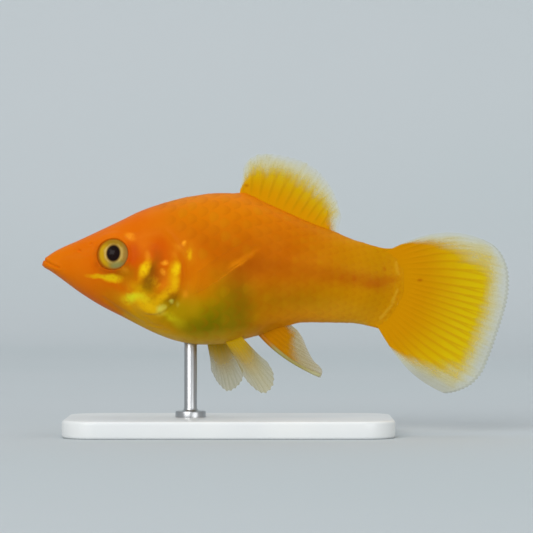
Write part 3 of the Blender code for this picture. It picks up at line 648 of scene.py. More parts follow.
def body_colour(made):
    """The body's colour at every place, a mask of how metallic it is, and a fine grain."""
    where, behind, above = side_view(made)
    grain = noise(made, where, 0.45 * mm, 3.0)
    clumps = noise(made, where, 1.1 * mm, 2.0)
    band = streak(behind, above, (34.5, 0.4), (60.0, -3.4), 0.2, 2.2) * behind.step(31.0, 38.0)
    layers = [
        (above.step(1.0, -3.0) * behind.step(20.0, 14.0), CHEEK),
        (behind.step(9.0, 1.0), SNOUT),
        (above.step(2.5, 10.0) * behind.step(16.0, 26.0), BACK),
        (above.step(0.5, -7.0) * behind.step(31.0, 40.0), LOW_FLANK),
        (behind.step(40.0, 58.0), TAIL_STALK),
        # the belly's lower edge: its own pale yellow, lightened further as painted light
        (streak(behind, above, (21.0, -13.4), (33.0, -14.6), 1.0, 3.2) * 0.9, BELLY),
        (band * behind.step(61.0, 57.0) * 0.60, BAND),
        (streak(behind, above, (55.5, -3.5), (60.2, -2.4), 0.05, 1.0) * 0.35, BAND_END),
    ]
    layers += [(spot(behind, above, place, (0.35, 0.5), 0.9) * 0.4, BAND_END) for place in SPECKS]
    layers += [(streak(behind, above, *ends, 0.05, 0.4) * 0.4, PALE_SCALES_AND_LIGHT) for ends in STALK_LINES]
    layers += [(streak(behind, above, *ends, 0.1, 0.9) * 0.75, RIM) for ends in RIM_LINES]
    marks = [
        (spot(behind, above, (x, y), (long, deep), soft, lean) * strength, tint, *shine)
        for x, y, long, deep, lean, soft, tint, strength, *shine in TINTS + PATCHES
    ]
    layers += marks[:len(TINTS)]
    mottled = spot(behind, above, (18.6, -4.4), (4.2, 4.0), 0.6) * (grain * 0.4 + clumps)
    layers.append((mottled.step(0.62, 0.90) * 0.25, GOLD))
    broken = (clumps + grain * 0.4).step(0.20, 0.74)
    metal = clumps * 0.0
    for mask, tint, shine in marks[len(TINTS):]:
        mask = mask * broken
        layers.append((mask, tint))
        metal = metal.larger(mask * shine)
    blotch = noise(made, where, 5.0 * mm, 3.0).step(0.35, 0.7)
    layers.append((blotch * 0.10, APRICOT))
    return where, layered(behind.step(33.0, 14.0).mixed(FLANK, NAPE), layers), metal, grain


print(len(TINTS), "soft tints and", len(PATCHES), "bright patches on the head and belly")

# %% [markdown]
# ## The skin
# The body of the fish is one skin. It could start as a sphere, but a grid is made far faster: its columns
# are wrapped round the body, its rows become cross-sections, and merging the doubled points closes the
# seam, the snout and the tail. The rows are crowded towards the head, where the small forms are.

# %% Make the skin
SKIN_TURNS = 312
SKIN_RINGS = 300
RING_CROWDING = 1.6


def mesh_from(bm):
    mesh = bpy.data.meshes.new("shape")
    bm.to_mesh(mesh)
    bm.free()
    return mesh


def places_of(mesh):
    """The mesh's points as rows of x, y and z."""
    spots = np.empty(3 * len(mesh.vertices), np.float32)
    mesh.vertices.foreach_get("co", spots)
    return spots.reshape(-1, 3).astype(float)


def set_places(mesh, places):
    mesh.vertices.foreach_set("co", np.ascontiguousarray(places, np.float32).ravel())
    mesh.update()


def set_values(mesh, name, values):
    """Keeps one number for each point, which a material can read by name."""
    made = mesh.attributes.new(name, "FLOAT", "POINT")
    made.data.foreach_set("value", np.ascontiguousarray(values, np.float32))


def show(name, data):
    """Puts a mesh, lamp or camera in the scene."""
    made = bpy.data.objects.new(name, data)
    bpy.context.scene.collection.objects.link(made)
    return made


def finished(name, mesh, material, replaced=(), sharp=50):
    """Shows a mesh as a piece that rides on the one body of this model."""
    mesh.name = name
    mesh.shade_smooth()
    mesh.set_sharp_from_angle(angle=math.radians(sharp))
    mesh.materials.append(material)
    piece = show(name, mesh)
    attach(piece, "root")
    if replaced:
        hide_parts(*replaced)


def make_skin():
    bm = bmesh.new()
    bmesh.ops.create_grid(bm, x_segments=SKIN_TURNS, y_segments=SKIN_RINGS, size=1.0)
    mesh = mesh_from(bm)
    round_it, along, _ = places_of(mesh).T
    side = np.where(round_it < 0, -1.0, 1.0)
    behind = SKIN_END * ((along + 1) / 2) ** RING_CROWDING
    set_places(mesh, skin_surface(behind, np.abs(round_it) * math.pi, side))
    bm = bmesh.new()
    bm.from_mesh(mesh)
    bmesh.ops.remove_doubles(bm, verts=bm.verts[:], dist=1e-7)
    bm.to_mesh(mesh)
    bm.free()
    return mesh


skin_mesh = make_skin()
spread = places_of(skin_mesh)
print("skin:", len(skin_mesh.polygons), "faces, from", spread.min(axis=0), "to", spread.max(axis=0))

# %% [markdown]
# ## The finish of skin and scales
# Live fish skin is wet: a clear slippery coat over colour that lies a little way in. Coat and a small
# even subsurface weight give that. The bright patches are guanine crystals, which act as tiny mirrors, so
# their mask also makes the skin metallic and smooth there.

# %% Skin and scale materials
WARM_GLOSS = (1.0, 0.55, 0.08, 1.0)


def skin_finish(name, scaled):
    material, made = new_material(name)
    where, colour, metal, grain = body_colour(made)
    if scaled:
        edge, tone = kept_value(made, "edge"), kept_value(made, "tone")
        rimmed = (edge.step(0.60, 1.0) * 0.18, BAND_END)
        colour = layered(colour, [rimmed, (tone.step(0.50, 1.0) * edge.step(0.2, 0.7) * 0.08, GOLD)])
    fine = noise(made, where, 0.12 * mm, 4.0)
    shade(
        made,
        {
            "Base Color": colour,
            "Roughness": 0.44 - metal * 0.40 + grain * 0.08,
            "Metallic": metal,
            "Normal": (fine + grain * 0.6).bumps(0.25, 0.03 * mm),
            "Specular IOR Level": 0.14,
            "Specular Tint": WARM_GLOSS,
            "Subsurface Weight": 0.12,
            "Subsurface Radius": (0.9, 0.35, 0.1),
            "Subsurface Scale": 1.0 * mm,
            "Coat Weight": 0.012,
            "Coat Roughness": 0.08,
        },
    )
    return material


skin_material = skin_finish("wet_skin", scaled=False)
scale_material = skin_finish("wet_scales", scaled=True)
BODY_NODES = ("head", "lower_jaw", "gill_cover_left", "gill_cover_right", "trunk", "tail_stalk")
finished("skin", skin_mesh, skin_material, BODY_NODES, sharp=80)
print("skin material nodes:", len(skin_material.node_tree.nodes))

# %% [markdown]
# ## Scales
# The scales of a molly are thin round plates, rooted at the front and overlapping like tiles, each row
# set half a scale off the next. They are made here as real plates, all from one flat closed template: a
# grid given a thickness, whose corners say how far they are across and along it. The template is then
# laid on the skin once for every place in the rows.

# %% A flat plate to bend
def plate(columns, rows):
    """A closed flat plate, and for each of its points u across, v along, and w, 0 below or 1 above."""
    bm = bmesh.new()
    bmesh.ops.create_grid(bm, x_segments=columns, y_segments=rows, size=0.5)
    bmesh.ops.solidify(bm, geom=bm.faces[:], thickness=0.2)
    bmesh.ops.recalc_face_normals(bm, faces=bm.faces[:])
    mesh = mesh_from(bm)
    u, v, w = places_of(mesh).T
    w = (w - w.min()) / (w.max() - w.min())
    return mesh, u + 0.5, v + 0.5, w


print("a plate of 6 by 4 has", len(plate(6, 4)[1]), "points")

# %% Rows of scales
SCALE_ROWS = 13
FIRST_COLUMN, LAST_COLUMN = 14.0, 60.6
LEAST_PITCH, PITCH_FOR_DEPTH = 0.62, 0.048
SCALE_FRONT = (
    (-14, 21), (-11, 22), (-8, 23.6), (-5, 25.2), (-1, 26), (2, 25.4), (5, 22.8),
    (8, 18.8), (10, 16.4), (13, 15),
)
SCALE_OVERLAP = 1.75
SCALE_WIDTH = 1.10
SCALE_LIFT = 0.085
scale_front = smooth_curve(SCALE_FRONT)


def row_table(behind):
    """Turns, and how far round the half section each lies, 0 at the back and 1 at the belly."""
    turns = np.linspace(-1.2, math.pi + 1.2, 500)
    ring = bare_surface(np.full(turns.shape, behind), turns, -1)
    reach = np.concatenate([[0.0], np.cumsum(np.linalg.norm(np.diff(ring, axis=0), axis=1))])
    at_back, at_belly = np.interp([0.0, math.pi], turns, reach)
    return turns, (reach - at_back) / (at_belly - at_back)


def scale_columns():
    """Roots of the columns, spaced by the depth of the body."""
    behind, spots = FIRST_COLUMN, []
    while behind < LAST_COLUMN:
        spots.append(behind)
        behind += LEAST_PITCH + PITCH_FOR_DEPTH * float(back_line(behind) - belly_line(behind))
    return spots


def lay_scales(side):
    """One closed mesh of every scale on a side."""
    template, u, v, w = plate(6, 4)
    corner_of = np.empty(len(template.loops), np.int64)
    template.loops.foreach_get("vertex_index", corner_of)
    bpy.data.meshes.remove(template)
    across = (2 * u - 1) * -side
    rng = np.random.default_rng(7 if side < 0 else 8)
    columns = scale_columns()
    width = SCALE_WIDTH / SCALE_ROWS * (0.82 + 0.18 * np.sin(np.pi * np.minimum(v + 0.15, 1.0)))
    lift = -0.05 + SCALE_LIFT * v - 0.035 * across**2 + 0.012 * np.sin(np.pi * v)
    lift = np.where(w > 0.5, lift, lift - 0.035 - 0.02 * (1 - v))
    edge = np.maximum(v, np.abs(across) * 0.9) * (w > 0.5)
    places, uvs, tones = [], [], []
    for number, (front, following) in enumerate(zip(columns, columns[1:] + [columns[-1] + 1.2])):
        turns, shares = row_table(front)
        odd = number % 2
        share = (np.arange(SCALE_ROWS + odd) + 0.5 - odd / 2) / SCALE_ROWS
        turn_there = np.interp(share, shares, turns)
        root_above = (bare_surface(np.full(share.shape, front), turn_there, side)[:, 2] - SNOUT_HEIGHT) / mm
        kept = front > scale_front(root_above) + rng.uniform(-0.3, 0.3, len(share))
        if side > 0:
            kept &= (share > 0.001) & (share < 0.999)
        length = SCALE_OVERLAP * (following - front) * rng.uniform(0.96, 1.04, len(share))[kept, None]
        behind = np.minimum(front + length * v * (1 - 0.40 * np.abs(across) ** 2.4), SKIN_END - 0.35)
        turn = np.interp(share[kept, None] + across * width / 2, shares, turns)
        places.append(skin_surface(behind, turn, side, lift).reshape(-1, 3))
        middle = 0.5 + side * turn_there[kept, None] / (2 * math.pi)
        patch = np.broadcast_arrays(front / SKIN_END + 0.003 * (v - 0.5), middle + 0.003 * (u - 0.5))
        uvs.append(np.stack(patch, axis=-1).reshape(-1, 2))
        tones.append(np.repeat(rng.random(int(kept.sum())), len(u)))
    places = np.concatenate(places)
    count = len(places) // len(u)
    faces = corner_of.reshape(-1, 4) + len(u) * np.arange(count)[:, None, None]
    mesh = bpy.data.meshes.new("scales")
    mesh.from_pydata(places.tolist(), [], faces.reshape(-1, 4).tolist())
    wrap = mesh.uv_layers.new(name="OFBake")
    wrap.data.foreach_set("uv", np.concatenate(uvs)[faces.ravel()].astype(np.float32).ravel())
    set_values(mesh, "edge", np.tile(edge, count))
    set_values(mesh, "tone", np.concatenate(tones))
    return mesh, count


for side, word in SIDES:
    scales, count = lay_scales(side)
    finished(f"scales_{word}", scales, scale_material, sharp=60)
    print(f"scales_{word}:", count, "scales,", len(scales.polygons) * 2, "triangles")

# %% [markdown]
# ## Eyes
# A fish's eye is a flattened ball with a wide clear cornea. The iris is a pale gold disc round a black
# pupil a little taller than it is wide. Each eyeball is a sphere pressed flat and turned to look out, a
# little forwards and up. Its colours are drawn round its own middle, and a clear coat gives the wet shine.

# %% Make the eyes
EYE_ACROSS = 2.88
EYE_DEEP = 1.3
EYE_SINK = 0.55
PUPIL_BACK = 0.30
PUPIL_UP = 0.08
PUPIL_WIDE, PUPIL_TALL = 1.12, 1.36
LENS_RISE = 0.16


def eye_frame(side):
    """The eyeball's middle and its forward, upward and outward directions."""
    facing, place = eye_axis(side)
    up = np.array([0.0, 0.0, 1.0])
    up = unit(up - (up @ facing) * facing)
    forward = np.cross(up, facing) * side
    return place - facing * EYE_SINK * mm, forward, up, facing


def eye_finish(word, side):
    material, made = new_material(f"eye_{word}_glass")
    middle, forward, up, _ = eye_frame(side)
    where = object_place(made)
    from_middle = made.node("VectorMath", {"operation": "SUBTRACT"}, {0: where, 1: tuple(middle)})
    along, high = [
        made.node("VectorMath", {"operation": "DOT_PRODUCT"}, {0: from_middle, 1: tuple(way)}, output="Value")
        * (1 / mm)
        for way in (forward, up)
    ]
    along, high = along + PUPIL_BACK, high - PUPIL_UP
    grain = noise(made, where, 0.35 * mm, 4.0)
    patchy = noise(made, where, 0.9 * mm, 2.0)
    away = (along * along + high * high).root()
    shaken = away + (grain - 0.5) * 0.5 + (patchy - 0.5) * 0.6
    from_pupil = (along * along * (1 / PUPIL_WIDE**2) + high * high * (1 / PUPIL_TALL**2)).root()
    pupil = from_pupil.step(1.12, 0.88)
    layers = (
        (along.step(0.2, 1.6) * shaken.step(1.4, 2.1) * 0.9, paint(202, 154, 6)),
        (high.step(0.7, 2.2) * 0.85, paint(150, 106, 8)),
        (high.step(-0.9, -2.0) * along.step(1.2, -0.4) * 0.8, paint(132, 136, 84)),
        (along.step(-1.0, -2.1) * 0.7, paint(146, 108, 54)),
        (shaken.step(1.9, 1.5) * 0.063, paint(226, 200, 120)),
        (away.step(2.25, 2.75), paint(172, 96, 8)),
        (from_pupil.step(1.30, 1.0) * 0.8, paint(104, 68, 18)),
        (pupil, paint(24, 11, 9)),
    )
    colour = layered(shaken.step(1.3, 2.0).mixed(paint(198, 164, 82), paint(164, 128, 34)), layers)
    shade(
        made,
        {
            "Base Color": colour,
            "Roughness": 0.40 - pupil * 0.2 + grain * 0.06,
            "Metallic": (1 - pupil) * grain * 0.25,
            "Specular IOR Level": 0.06,
            "Coat Weight": 0.035,
            "Coat Roughness": 0.05,
        },
    )
    return material


def make_eye(side):
    bm = bmesh.new()
    bmesh.ops.create_uvsphere(bm, u_segments=72, v_segments=48, radius=1.0)
    mesh = mesh_from(bm)
    x, y, z = places_of(mesh).T
    middle, _, up, facing = eye_frame(side)
    from_pupil = np.hypot(x * EYE_ACROSS * side + PUPIL_BACK, y * EYE_ACROSS - PUPIL_UP)
    lens = LENS_RISE * bump(from_pupil, 1.0) * (z > 0)
    flat = np.outer(x * EYE_ACROSS, np.cross(up, facing)) + np.outer(y * EYE_ACROSS, up)
    set_places(mesh, middle + (flat + np.outer(z * EYE_DEEP + lens, facing)) * mm)
    return mesh


for side, word in SIDES:
    name = f"eye_{word}_ball"
    finished(name, make_eye(side), eye_finish(word, side), (f"eye_{word}",), sharp=80)
    print(name, "looks along", np.round(eye_axis(side)[0], 2))

# %% [markdown]
# ## Fins
# A fin is a thin double membrane over bony rays, and each ray forks towards the margin. The same plate
# that made the scales is laid on the fin's middle surface: u runs from ray to ray and v out along them. Its
# thickness swells over each ray. The rays' places are kept on the mesh as numbers called "ray" and
# "reach", so the colour of the rays follows their shape exactly.

# %% Rays and membranes
def ray_height(u, v, rays, forks):
    """How near a place on a fin is to a ray: 1 on it and 0 between. Rays split in two at each fork."""
    number = np.floor(np.clip(u * rays, 0, rays - 1e-6))
    offset = u * rays - number - 0.5
    branches, spread, width = [np.zeros_like(v)], 0.25, 0.17
    for fork in forks:
        opened = ease((v - fork - 0.05 * np.sin(2.4 * number)) / 0.40)
        branches = [branch + sign * spread * opened for branch in branches for sign in (-1, 1)]
        width = width * (1 - 0.30 * opened)
        spread /= 2
    nearest = np.min([np.abs(offset - branch) for branch in branches], axis=0)
    return bump(nearest, width)


def eased(a, b, t):
    return a + (b - a) * ease(t)


def bowed(root, tip, v, bow, late=0.0):
    """Places along rays from root to tip, bent sideways by a share of their length, most near the middle
    or, with late, nearer the tip."""
    way = tip - root
    beside = np.stack([-way[..., 1], way[..., 0]], axis=-1)
    bent = v * np.abs(v) ** late
    return root + way * v[..., None] + beside * (bow * 4 * bent * (1 - bent))[..., None]


def base_of(behind_front, behind_rear, u, height_at):
    """Roots of the rays in the side view, from the front one, u = 0, to the last, u = 1."""
    behind = behind_front + (behind_rear - behind_front) * u
    return np.stack([behind, height_at(behind)], axis=-1)


def make_fin(middle_at, size, rays, forks, root, tip, ridge, inset=0.0, notch=0.012):
    """A closed fin laid on middle_at(u, v). root, tip and ridge are thicknesses in mm."""
    mesh, u, v, w = plate(*size)
    v = v * (1 + inset) - inset
    ray = ray_height(u, v, rays, forks)
    reach = v * (1 - notch * ease((v - 0.7) / 0.3) * (1 - ray))
    outward = normals(middle_at, u, reach)
    thickness = eased(root, tip, v / 0.9) + ridge * ray * ease(v / 0.25) * eased(1.0, 0.35, v)
    set_places(mesh, middle_at(u, reach) + outward * ((w - 0.5) * thickness * mm)[:, None])
    set_values(mesh, "ray", ray)
    set_values(mesh, "reach", v)
    set_values(mesh, "across", u)
    return mesh


print("a ray stands out by", bump(0.0, 0.17), "at its middle and", round(bump(0.17, 0.17), 2), "beside it")


# %% Finish of the fins
YELLOW, AMBER = paint(213, 185, 2), paint(203, 126, 2)
STRAW, RIM_GREY, SHADOW_OLIVE = paint(204, 192, 30), paint(142, 146, 126), paint(136, 124, 26)


def fin_finish(
    name, paints, hiding, clearing, edges=((0, 0), (0, 0)), warm=0.0, line=0.0, rear=0.0, low=0.0, specks=()
):
    """Coloured at the root and clear at the margin. paints and hiding are for root, web, ray and margin:
    hiding is how much of what lies behind each part of the fin hides. clearing is the reach where it starts
    to clear and where it is clear. Each of the two edges clears too, over a strip that starts at a reach and
    widens by a slope. warm is the strength of amber at the front's root, line that of a fine dull rim, rear
    the share of the front where the margin looks like the rest, low how much more the rear edge's clear
    strip hides, where it is also darkened to an olive of painted shadow, and specks are places of dark
    specks."""
    root_paint, web_paint, ray_paint, clear_paint = paints
    root_share, web_share, ray_share, clear_share = hiding
    material, made = new_material(name)
    where, behind, above = side_view(made, 0.2)
    ray, reach, across = (kept_value(made, word) for word in ("ray", "reach", "across"))
    blotch = noise(made, where, 2.2 * mm, 3.0) - 0.5
    grain = noise(made, where, 0.25 * mm, 3.0)
    inside = (clearing[1] - reach) * (1 / (clearing[1] - clearing[0]))
    for (start, slope), edge in zip(edges, (across, 1 - across)):
        if slope:
            strip = edge.over((reach - start).larger(0.02) * slope).smaller(2.0)
            inside = inside.smaller(strip * (1.3 - strip * 0.3))
    lanes = made.node("CombineXYZ", inputs={"X": across * 36.0, "Y": reach * 2.5})
    lanes = made.node("TexNoise", inputs={"Vector": lanes, "Scale": 1.0, "Detail": 2.0}, output="Fac")
    inside = inside + blotch * 0.25 + (lanes - 0.5) * 0.5 + (grain - 0.5) * 0.3
    clear = inside.step(1.0, 0.0)
    if rear:
        clear = clear * across.step(rear - 0.25, rear)
    root = (reach + blotch * 0.12).step(0.82, 0.15)
    drawn_ray = ray.step(0.10, 0.95) * reach.step(0.04, 0.22) * inside.step(0.2, 1.4)
    layers = [
        (across.step(0.30, 0.0) * reach.step(0.50, 0.10) * warm, AMBER),
        (drawn_ray * (0.25 + grain * 0.6), ray_paint),
        (clear, clear_paint),
    ]
    left_over = clear_share * (1 + ray * 0.3 + inside.step(-1.2, 0.0) * 0.6)
    # painted shadow: near the edge at across 1 the clear strip is darkened to an olive and hides more
    if low:
        corner = across.step(0.78, 1.0) * reach.step(0.35, 0.65)
        layers.append((corner * clear * 0.9, SHADOW_OLIVE))
        left_over = left_over + corner * low
    layers += [(spot(behind, above, place, (0.38, 0.24), 0.8) * 0.5, UMBER) for place in specks]
    hidden = web_share + root * (root_share - web_share)
    hidden = hidden.larger(ray * ray_share)
    hidden = hidden + clear * (left_over - hidden)
    if rear:
        hidden = hidden * reach.step(1.0, 0.84)
    rim = reach.step(0.965, 0.985) * line
    layers.append((rim * 3.0, RIM_GREY))
    hidden = (hidden + rim).node("Clamp", inputs={"Value": hidden + rim})
    shade(
        made,
        {
            "Base Color": layered(root.mixed(web_paint, root_paint), layers),
            "Roughness": 0.50 - grain * 0.12,
            "Alpha": 1 - (1 - hidden).root(),
            "Normal": (ray * 0.6 + grain * 0.25).bumps(0.25, 0.04 * mm),
            "Specular IOR Level": 0.14,
            "Specular Tint": WARM_GLOSS,
        },
    )
    return material


print("the yellow of the fins as a shader sees it:", [round(value, 3) for value in YELLOW])

# %% [markdown]
# ### The tail fin
# The tail is a broad fan of twenty-two rays from a curved root. In the photo's pose it is a little bent in
# its own plane, and a real fan never lies quite flat, so its middle surface swings gently from side to
# side between the upper and lower edge. A fan could be cut from a plane, but a plate laid from the curved
# root to a drawn margin keeps its rays whole, and the root exactly on the end of the scaled body.

# %% Tail fin
TAIL_MARGIN = (
    (75.9, 4.15), (77.4, 3.3), (78.7, 1.9), (79.6, 0), (80, -3), (79.7, -6), (79.2, -8),
    (77.9, -12), (76.6, -15.6), (74.9, -19), (73.4, -20.5), (71.6, -21.4), (70.2, -21.8), (68.9, -21.95),
)
TAIL_SWING = 1.6
tail_root_at, tail_tip_at = smooth_path(TAIL_ARC[::-1]), smooth_path(TAIL_MARGIN)


def tail_middle(u, v):
    bow = eased(0.12, 0.0, u / 0.4) - eased(0.0, 0.092, (u - 0.6) / 0.4)
    place = bowed(tail_root_at(u), tail_tip_at(u), v, bow, 0.12)
    return at(place[..., 0], TAIL_SWING * v * np.abs(v) * np.sin(np.pi * (0.2 + 0.9 * u)), place[..., 1])


tail_mesh = make_fin(tail_middle, (352, 72), 22, (0.50,), 0.40, 0.08, 0.12, inset=0.12)
tail_material = fin_finish(
    "tail_web", (paint(196, 132, 1), YELLOW, paint(192, 132, 2), STRAW), (1, 0.995, 1, 0.065), (0.74, 1),
    edges=((0.10, 0.45), (0.20, 0.47)), warm=0.4, line=0.24, low=0.20, specks=((64.6, -2.6),),
)
finished("tail_rays", tail_mesh, tail_material, ("caudal_fin",))
print("tail fin:", len(tail_mesh.polygons), "faces")

# %% [markdown]
# ### The dorsal fin
# Thirteen rays stand on a low fleshy ridge of the back, the front ones nearly upright and the last laid
# well back. It is laid like the tail, with its root on the same curve as the back, so that it can't float
# off the body or sink into it. Only its tips are clear.

# %% Dorsal fin
DORSAL_BASE = (33.7, 50.7)
DORSAL_MARGIN = (
    (34.2, 15.2), (34.7, 17.3), (36.3, 18.7), (39.3, 19), (42.4, 18.5), (44.3, 17.9), (46.2, 16.9),
    (48, 15.3), (49.6, 13), (50.6, 10.5), (51.2, 8),
)
dorsal_tip_at = smooth_path(DORSAL_MARGIN)


def dorsal_middle(u, v):
    root = base_of(*DORSAL_BASE, u, back_line)
    place = bowed(root, dorsal_tip_at(u * (1.55 - 0.55 * u)), v, 0.05 * u)
    return at(place[..., 0], 0.9 * v * np.abs(v) * np.sin(np.pi * (0.1 + 1.2 * u)), place[..., 1])


dorsal_mesh = make_fin(dorsal_middle, (208, 48), 13, (0.42,), 0.36, 0.08, 0.12, inset=0.10, notch=0.015)
dorsal_material = fin_finish(
    "dorsal_web", (paint(206, 139, 1), paint(206, 178, 2), paint(186, 132, 2), STRAW), (1.0, 0.99, 1.0, 0.02),
    (0.50, 1.10), edges=((0.25, 0.45), (-0.3, 0.30)), specks=((35.0, 13.6),),
)
finished("dorsal_rays", dorsal_mesh, dorsal_material, ("dorsal_fin",))
print("dorsal fin:", len(dorsal_mesh.polygons), "faces")

# %% [markdown]
# ### The anal fin
# In a male its front rays grow together into a rod, which points back and down. The rod is a sphere
# drawn out along the fin's front edge, which gives it round closed ends. The rest is a small fin.

# %% Anal fin and rod
ANAL_BASE = (37.2, 42.3)
ANAL_MARGIN = ((47.6, -19.3), (47.9, -18.2), (46.3, -16.2), (45.2, -14.1), (44.5, -12.4), (43.7, -11.2))
anal_tip_at = smooth_path(ANAL_MARGIN)


def anal_middle(u, v):
    root = base_of(*ANAL_BASE, u, belly_line)
    place = bowed(root, anal_tip_at(np.clip(u, 0, 1) ** 0.8), v, 0.065 * (u - 1))
    return at(place[..., 0], 0.0, place[..., 1])


def make_rod(path, radius_at, round_end=0.02):
    """A rod along rows of places in the middle plane: a sphere drawn out from end to end."""
    bm = bmesh.new()
    bmesh.ops.create_uvsphere(bm, u_segments=24, v_segments=72, radius=1.0)
    mesh = mesh_from(bm)
    x, y, z = places_of(mesh).T
    share = np.arccos(np.clip(z, -1.0, 1.0)) / math.pi
    stops = np.linspace(0.0, 1.0, len(path))
    way = np.gradient(path, axis=0)
    middle, way = (
        np.stack([np.interp(share, stops, row) for row in rows.T], axis=-1) for rows in (path, way)
    )
    beside = np.array([0.0, 1.0, 0.0])
    other = np.cross(unit(way), beside)
    turn = np.arctan2(y, x)
    end = np.clip(np.minimum(share, 1 - share) / round_end, 0.0, 1.0)
    radius = radius_at(share) * np.sqrt(1 - (1 - end) ** 2) * mm
    ring = np.outer(np.cos(turn), beside) + other * np.sin(turn)[:, None]
    set_places(mesh, middle + ring * radius[:, None])
    set_values(mesh, "reach", share)
    return mesh


anal_mesh = make_fin(anal_middle, (112, 40), 7, (0.5,), 0.40, 0.09, 0.16, inset=0.12, notch=0.0)
anal_material = fin_finish(
    "anal_web", (paint(182, 114, 1), paint(180, 128, 2), paint(172, 110, 2), paint(164, 138, 8)),
    (1.0, 0.99, 1.0, 0.38), (0.44, 0.74), edges=((0, 0), (-0.5, 0.48)),
)
finished("anal_rays", anal_mesh, anal_material, ("anal_fin",))
front_v = np.linspace(-0.12, 0.995, 40)
front_edge = anal_middle(np.full(front_v.shape, 0.015), front_v)
rod_mesh = make_rod(front_edge, lambda t: 0.46 - 0.20 * ease(t * 1.15) + 0.07 * bump(t - 0.93, 0.05))
rod_material, made = new_material("anal_rod_skin")
reach = kept_value(made, "reach")
grain = noise(made, object_place(made), 0.3 * mm, 3.0)
colour = (reach + grain * 0.1).step(0.28, 0.46).mixed(paint(178, 110, 2), paint(154, 142, 80))
colour = (reach + grain * 0.1).step(0.75, 1.0).mixed(colour, paint(170, 166, 124))
shade(made, {"Base Color": colour, "Roughness": 0.55 - grain * 0.1, "Specular IOR Level": 0.2})
finished("anal_rod", rod_mesh, rod_material)
print("anal rod:", round(float(np.linalg.norm(front_edge[-1] - front_edge[0])) / mm, 1), "mm long")

# %% [markdown]
# ### The paired fins
# The pelvic fins hang under the belly and spread outwards, nearly clear. The pectoral fins leave the
# flanks just behind the gill covers and fold back close to the body. Being pairs, each is made by one
# function with the side as a number, though the two pelvic fins are spread differently in the photo.

# %% Pelvic and pectoral fins
PELVIC = {
    "left": (
        (30.9, 33.9),
        ((34.4, -18.6), (35.6, -20.2), (38.3, -21.7), (39.4, -20.6), (39.6, -18.6), (38.5, -16.4)),
    ),
    "right": (
        (28, 31.4),
        ((28.8, -18.2), (30.2, -20.6), (31.7, -21.8), (33.1, -21.2), (34.2, -19.8), (34.3, -18)),
    ),
}
PELVIC_ROOT_ASIDE = 1.5
PECTORAL_ROOT = ((25.9, -2), (25.6, -5.2))
PECTORAL_MARGIN = (
    (35.6, 4.7), (37, 4.4), (37.6, 3.3), (36.9, 2.1), (35, 0.6), (32.8, -0.8), (30.6, -2.4)
)
pectoral_tip_at = smooth_path(PECTORAL_MARGIN)


def pelvic_middle(side, base, margin):
    tip_at = smooth_path(margin)

    def middle(u, v):
        root = base_of(*base, u, lambda behind: belly_height(behind, PELVIC_ROOT_ASIDE) + 0.8)
        place = bowed(root, tip_at(u), v, 0.033 * (1 - 2 * u))
        across = PELVIC_ROOT_ASIDE + 3.7 * np.abs(v) ** 1.2 + 0.35 * u * (1 - v) + 0.12 * v * np.sin(9 * u)
        return at(place[..., 0], side * across, place[..., 1])

    return middle


def pectoral_middle(side):
    top, foot = (np.array(place) for place in PECTORAL_ROOT)

    def middle(u, v):
        root = top + (foot - top) * u[..., None]
        place = bowed(root, pectoral_tip_at(u), v, 0.035 * (1 - 2 * u))
        lift = eased(-0.8, 0.6, v / 0.22) + 1.3 * v
        return at(place[..., 0], side * (flank_width(place[..., 0], place[..., 1]) + lift), place[..., 1])

    return middle


pelvic_material = fin_finish(
    "pelvic_web", (paint(180, 142, 5), paint(160, 142, 46), paint(168, 146, 44), paint(166, 152, 66)),
    (0.99, 0.70, 0.86, 0.30), (0.40, 1.0),
)
# The pectoral fin's margin paint is a lighter orange than its root: painted highlight along the fin's lower
# edge.
pectoral_material = fin_finish(
    "pectoral_web", (paint(196, 98, 2), paint(198, 100, 4), paint(206, 110, 6), paint(226, 132, 6)),
    (0.12, 0.10, 0.16, 0.34), (0.66, 0.92), rear=0.60,
)
for side, word in SIDES:
    mesh = make_fin(pelvic_middle(side, *PELVIC[word]), (144, 44), 6, (0.45,), 0.50, 0.09, 0.12, notch=0.02)
    finished(f"pelvic_rays_{word}", mesh, pelvic_material, (f"pelvic_fin_{word}",))
    mesh = make_fin(pectoral_middle(side), (120, 40), 10, (0.45,), 0.45, 0.08, 0.10, notch=0.02)
    finished(f"pectoral_rays_{word}", mesh, pectoral_material, (f"pectoral_fin_{word}",))
    print(word, "paired fins made")

# %% [markdown]
# ## The stand
# A museum model of a swimming fish needs a quiet stand. The base is a cube scaled to a slab, with its
# upright edges rounded well and every edge softened. The rod is a profile spun round, set in the belly
# under the balance point, on a small turned collar.

# %% Make the stand
BASE_SIZE = (56 * mm, 30 * mm, 3 * mm)
BASE_CENTRE_X = -8 * mm
BASE_CORNER = 6 * mm
ROD_BEHIND = 25.4
ROD_RADIUS = 1.1 * mm
COLLAR_RADIUS = 2.6 * mm
COLLAR_TOP = 4.1 * mm


def round_edges(bm, edges, size, segments):
    bmesh.ops.bevel(
        bm, geom=edges, offset=size, segments=segments, affect="EDGES", profile=0.5, material=-1
    )


def make_base():
    bm = bmesh.new()
    bmesh.ops.create_cube(bm, size=1.0)
    bmesh.ops.scale(bm, vec=BASE_SIZE, verts=bm.verts)
    upright = [e for e in bm.edges if abs(e.verts[0].co.z - e.verts[1].co.z) > mm]
    round_edges(bm, upright, BASE_CORNER, 20)
    rims = [e for e in bm.edges if e.calc_face_angle(0.0) > math.radians(60)]
    round_edges(bm, rims, 0.5 * mm, 5)
    bmesh.ops.translate(bm, vec=(BASE_CENTRE_X, 0, BASE_SIZE[2] / 2), verts=bm.verts)
    return mesh_from(bm)


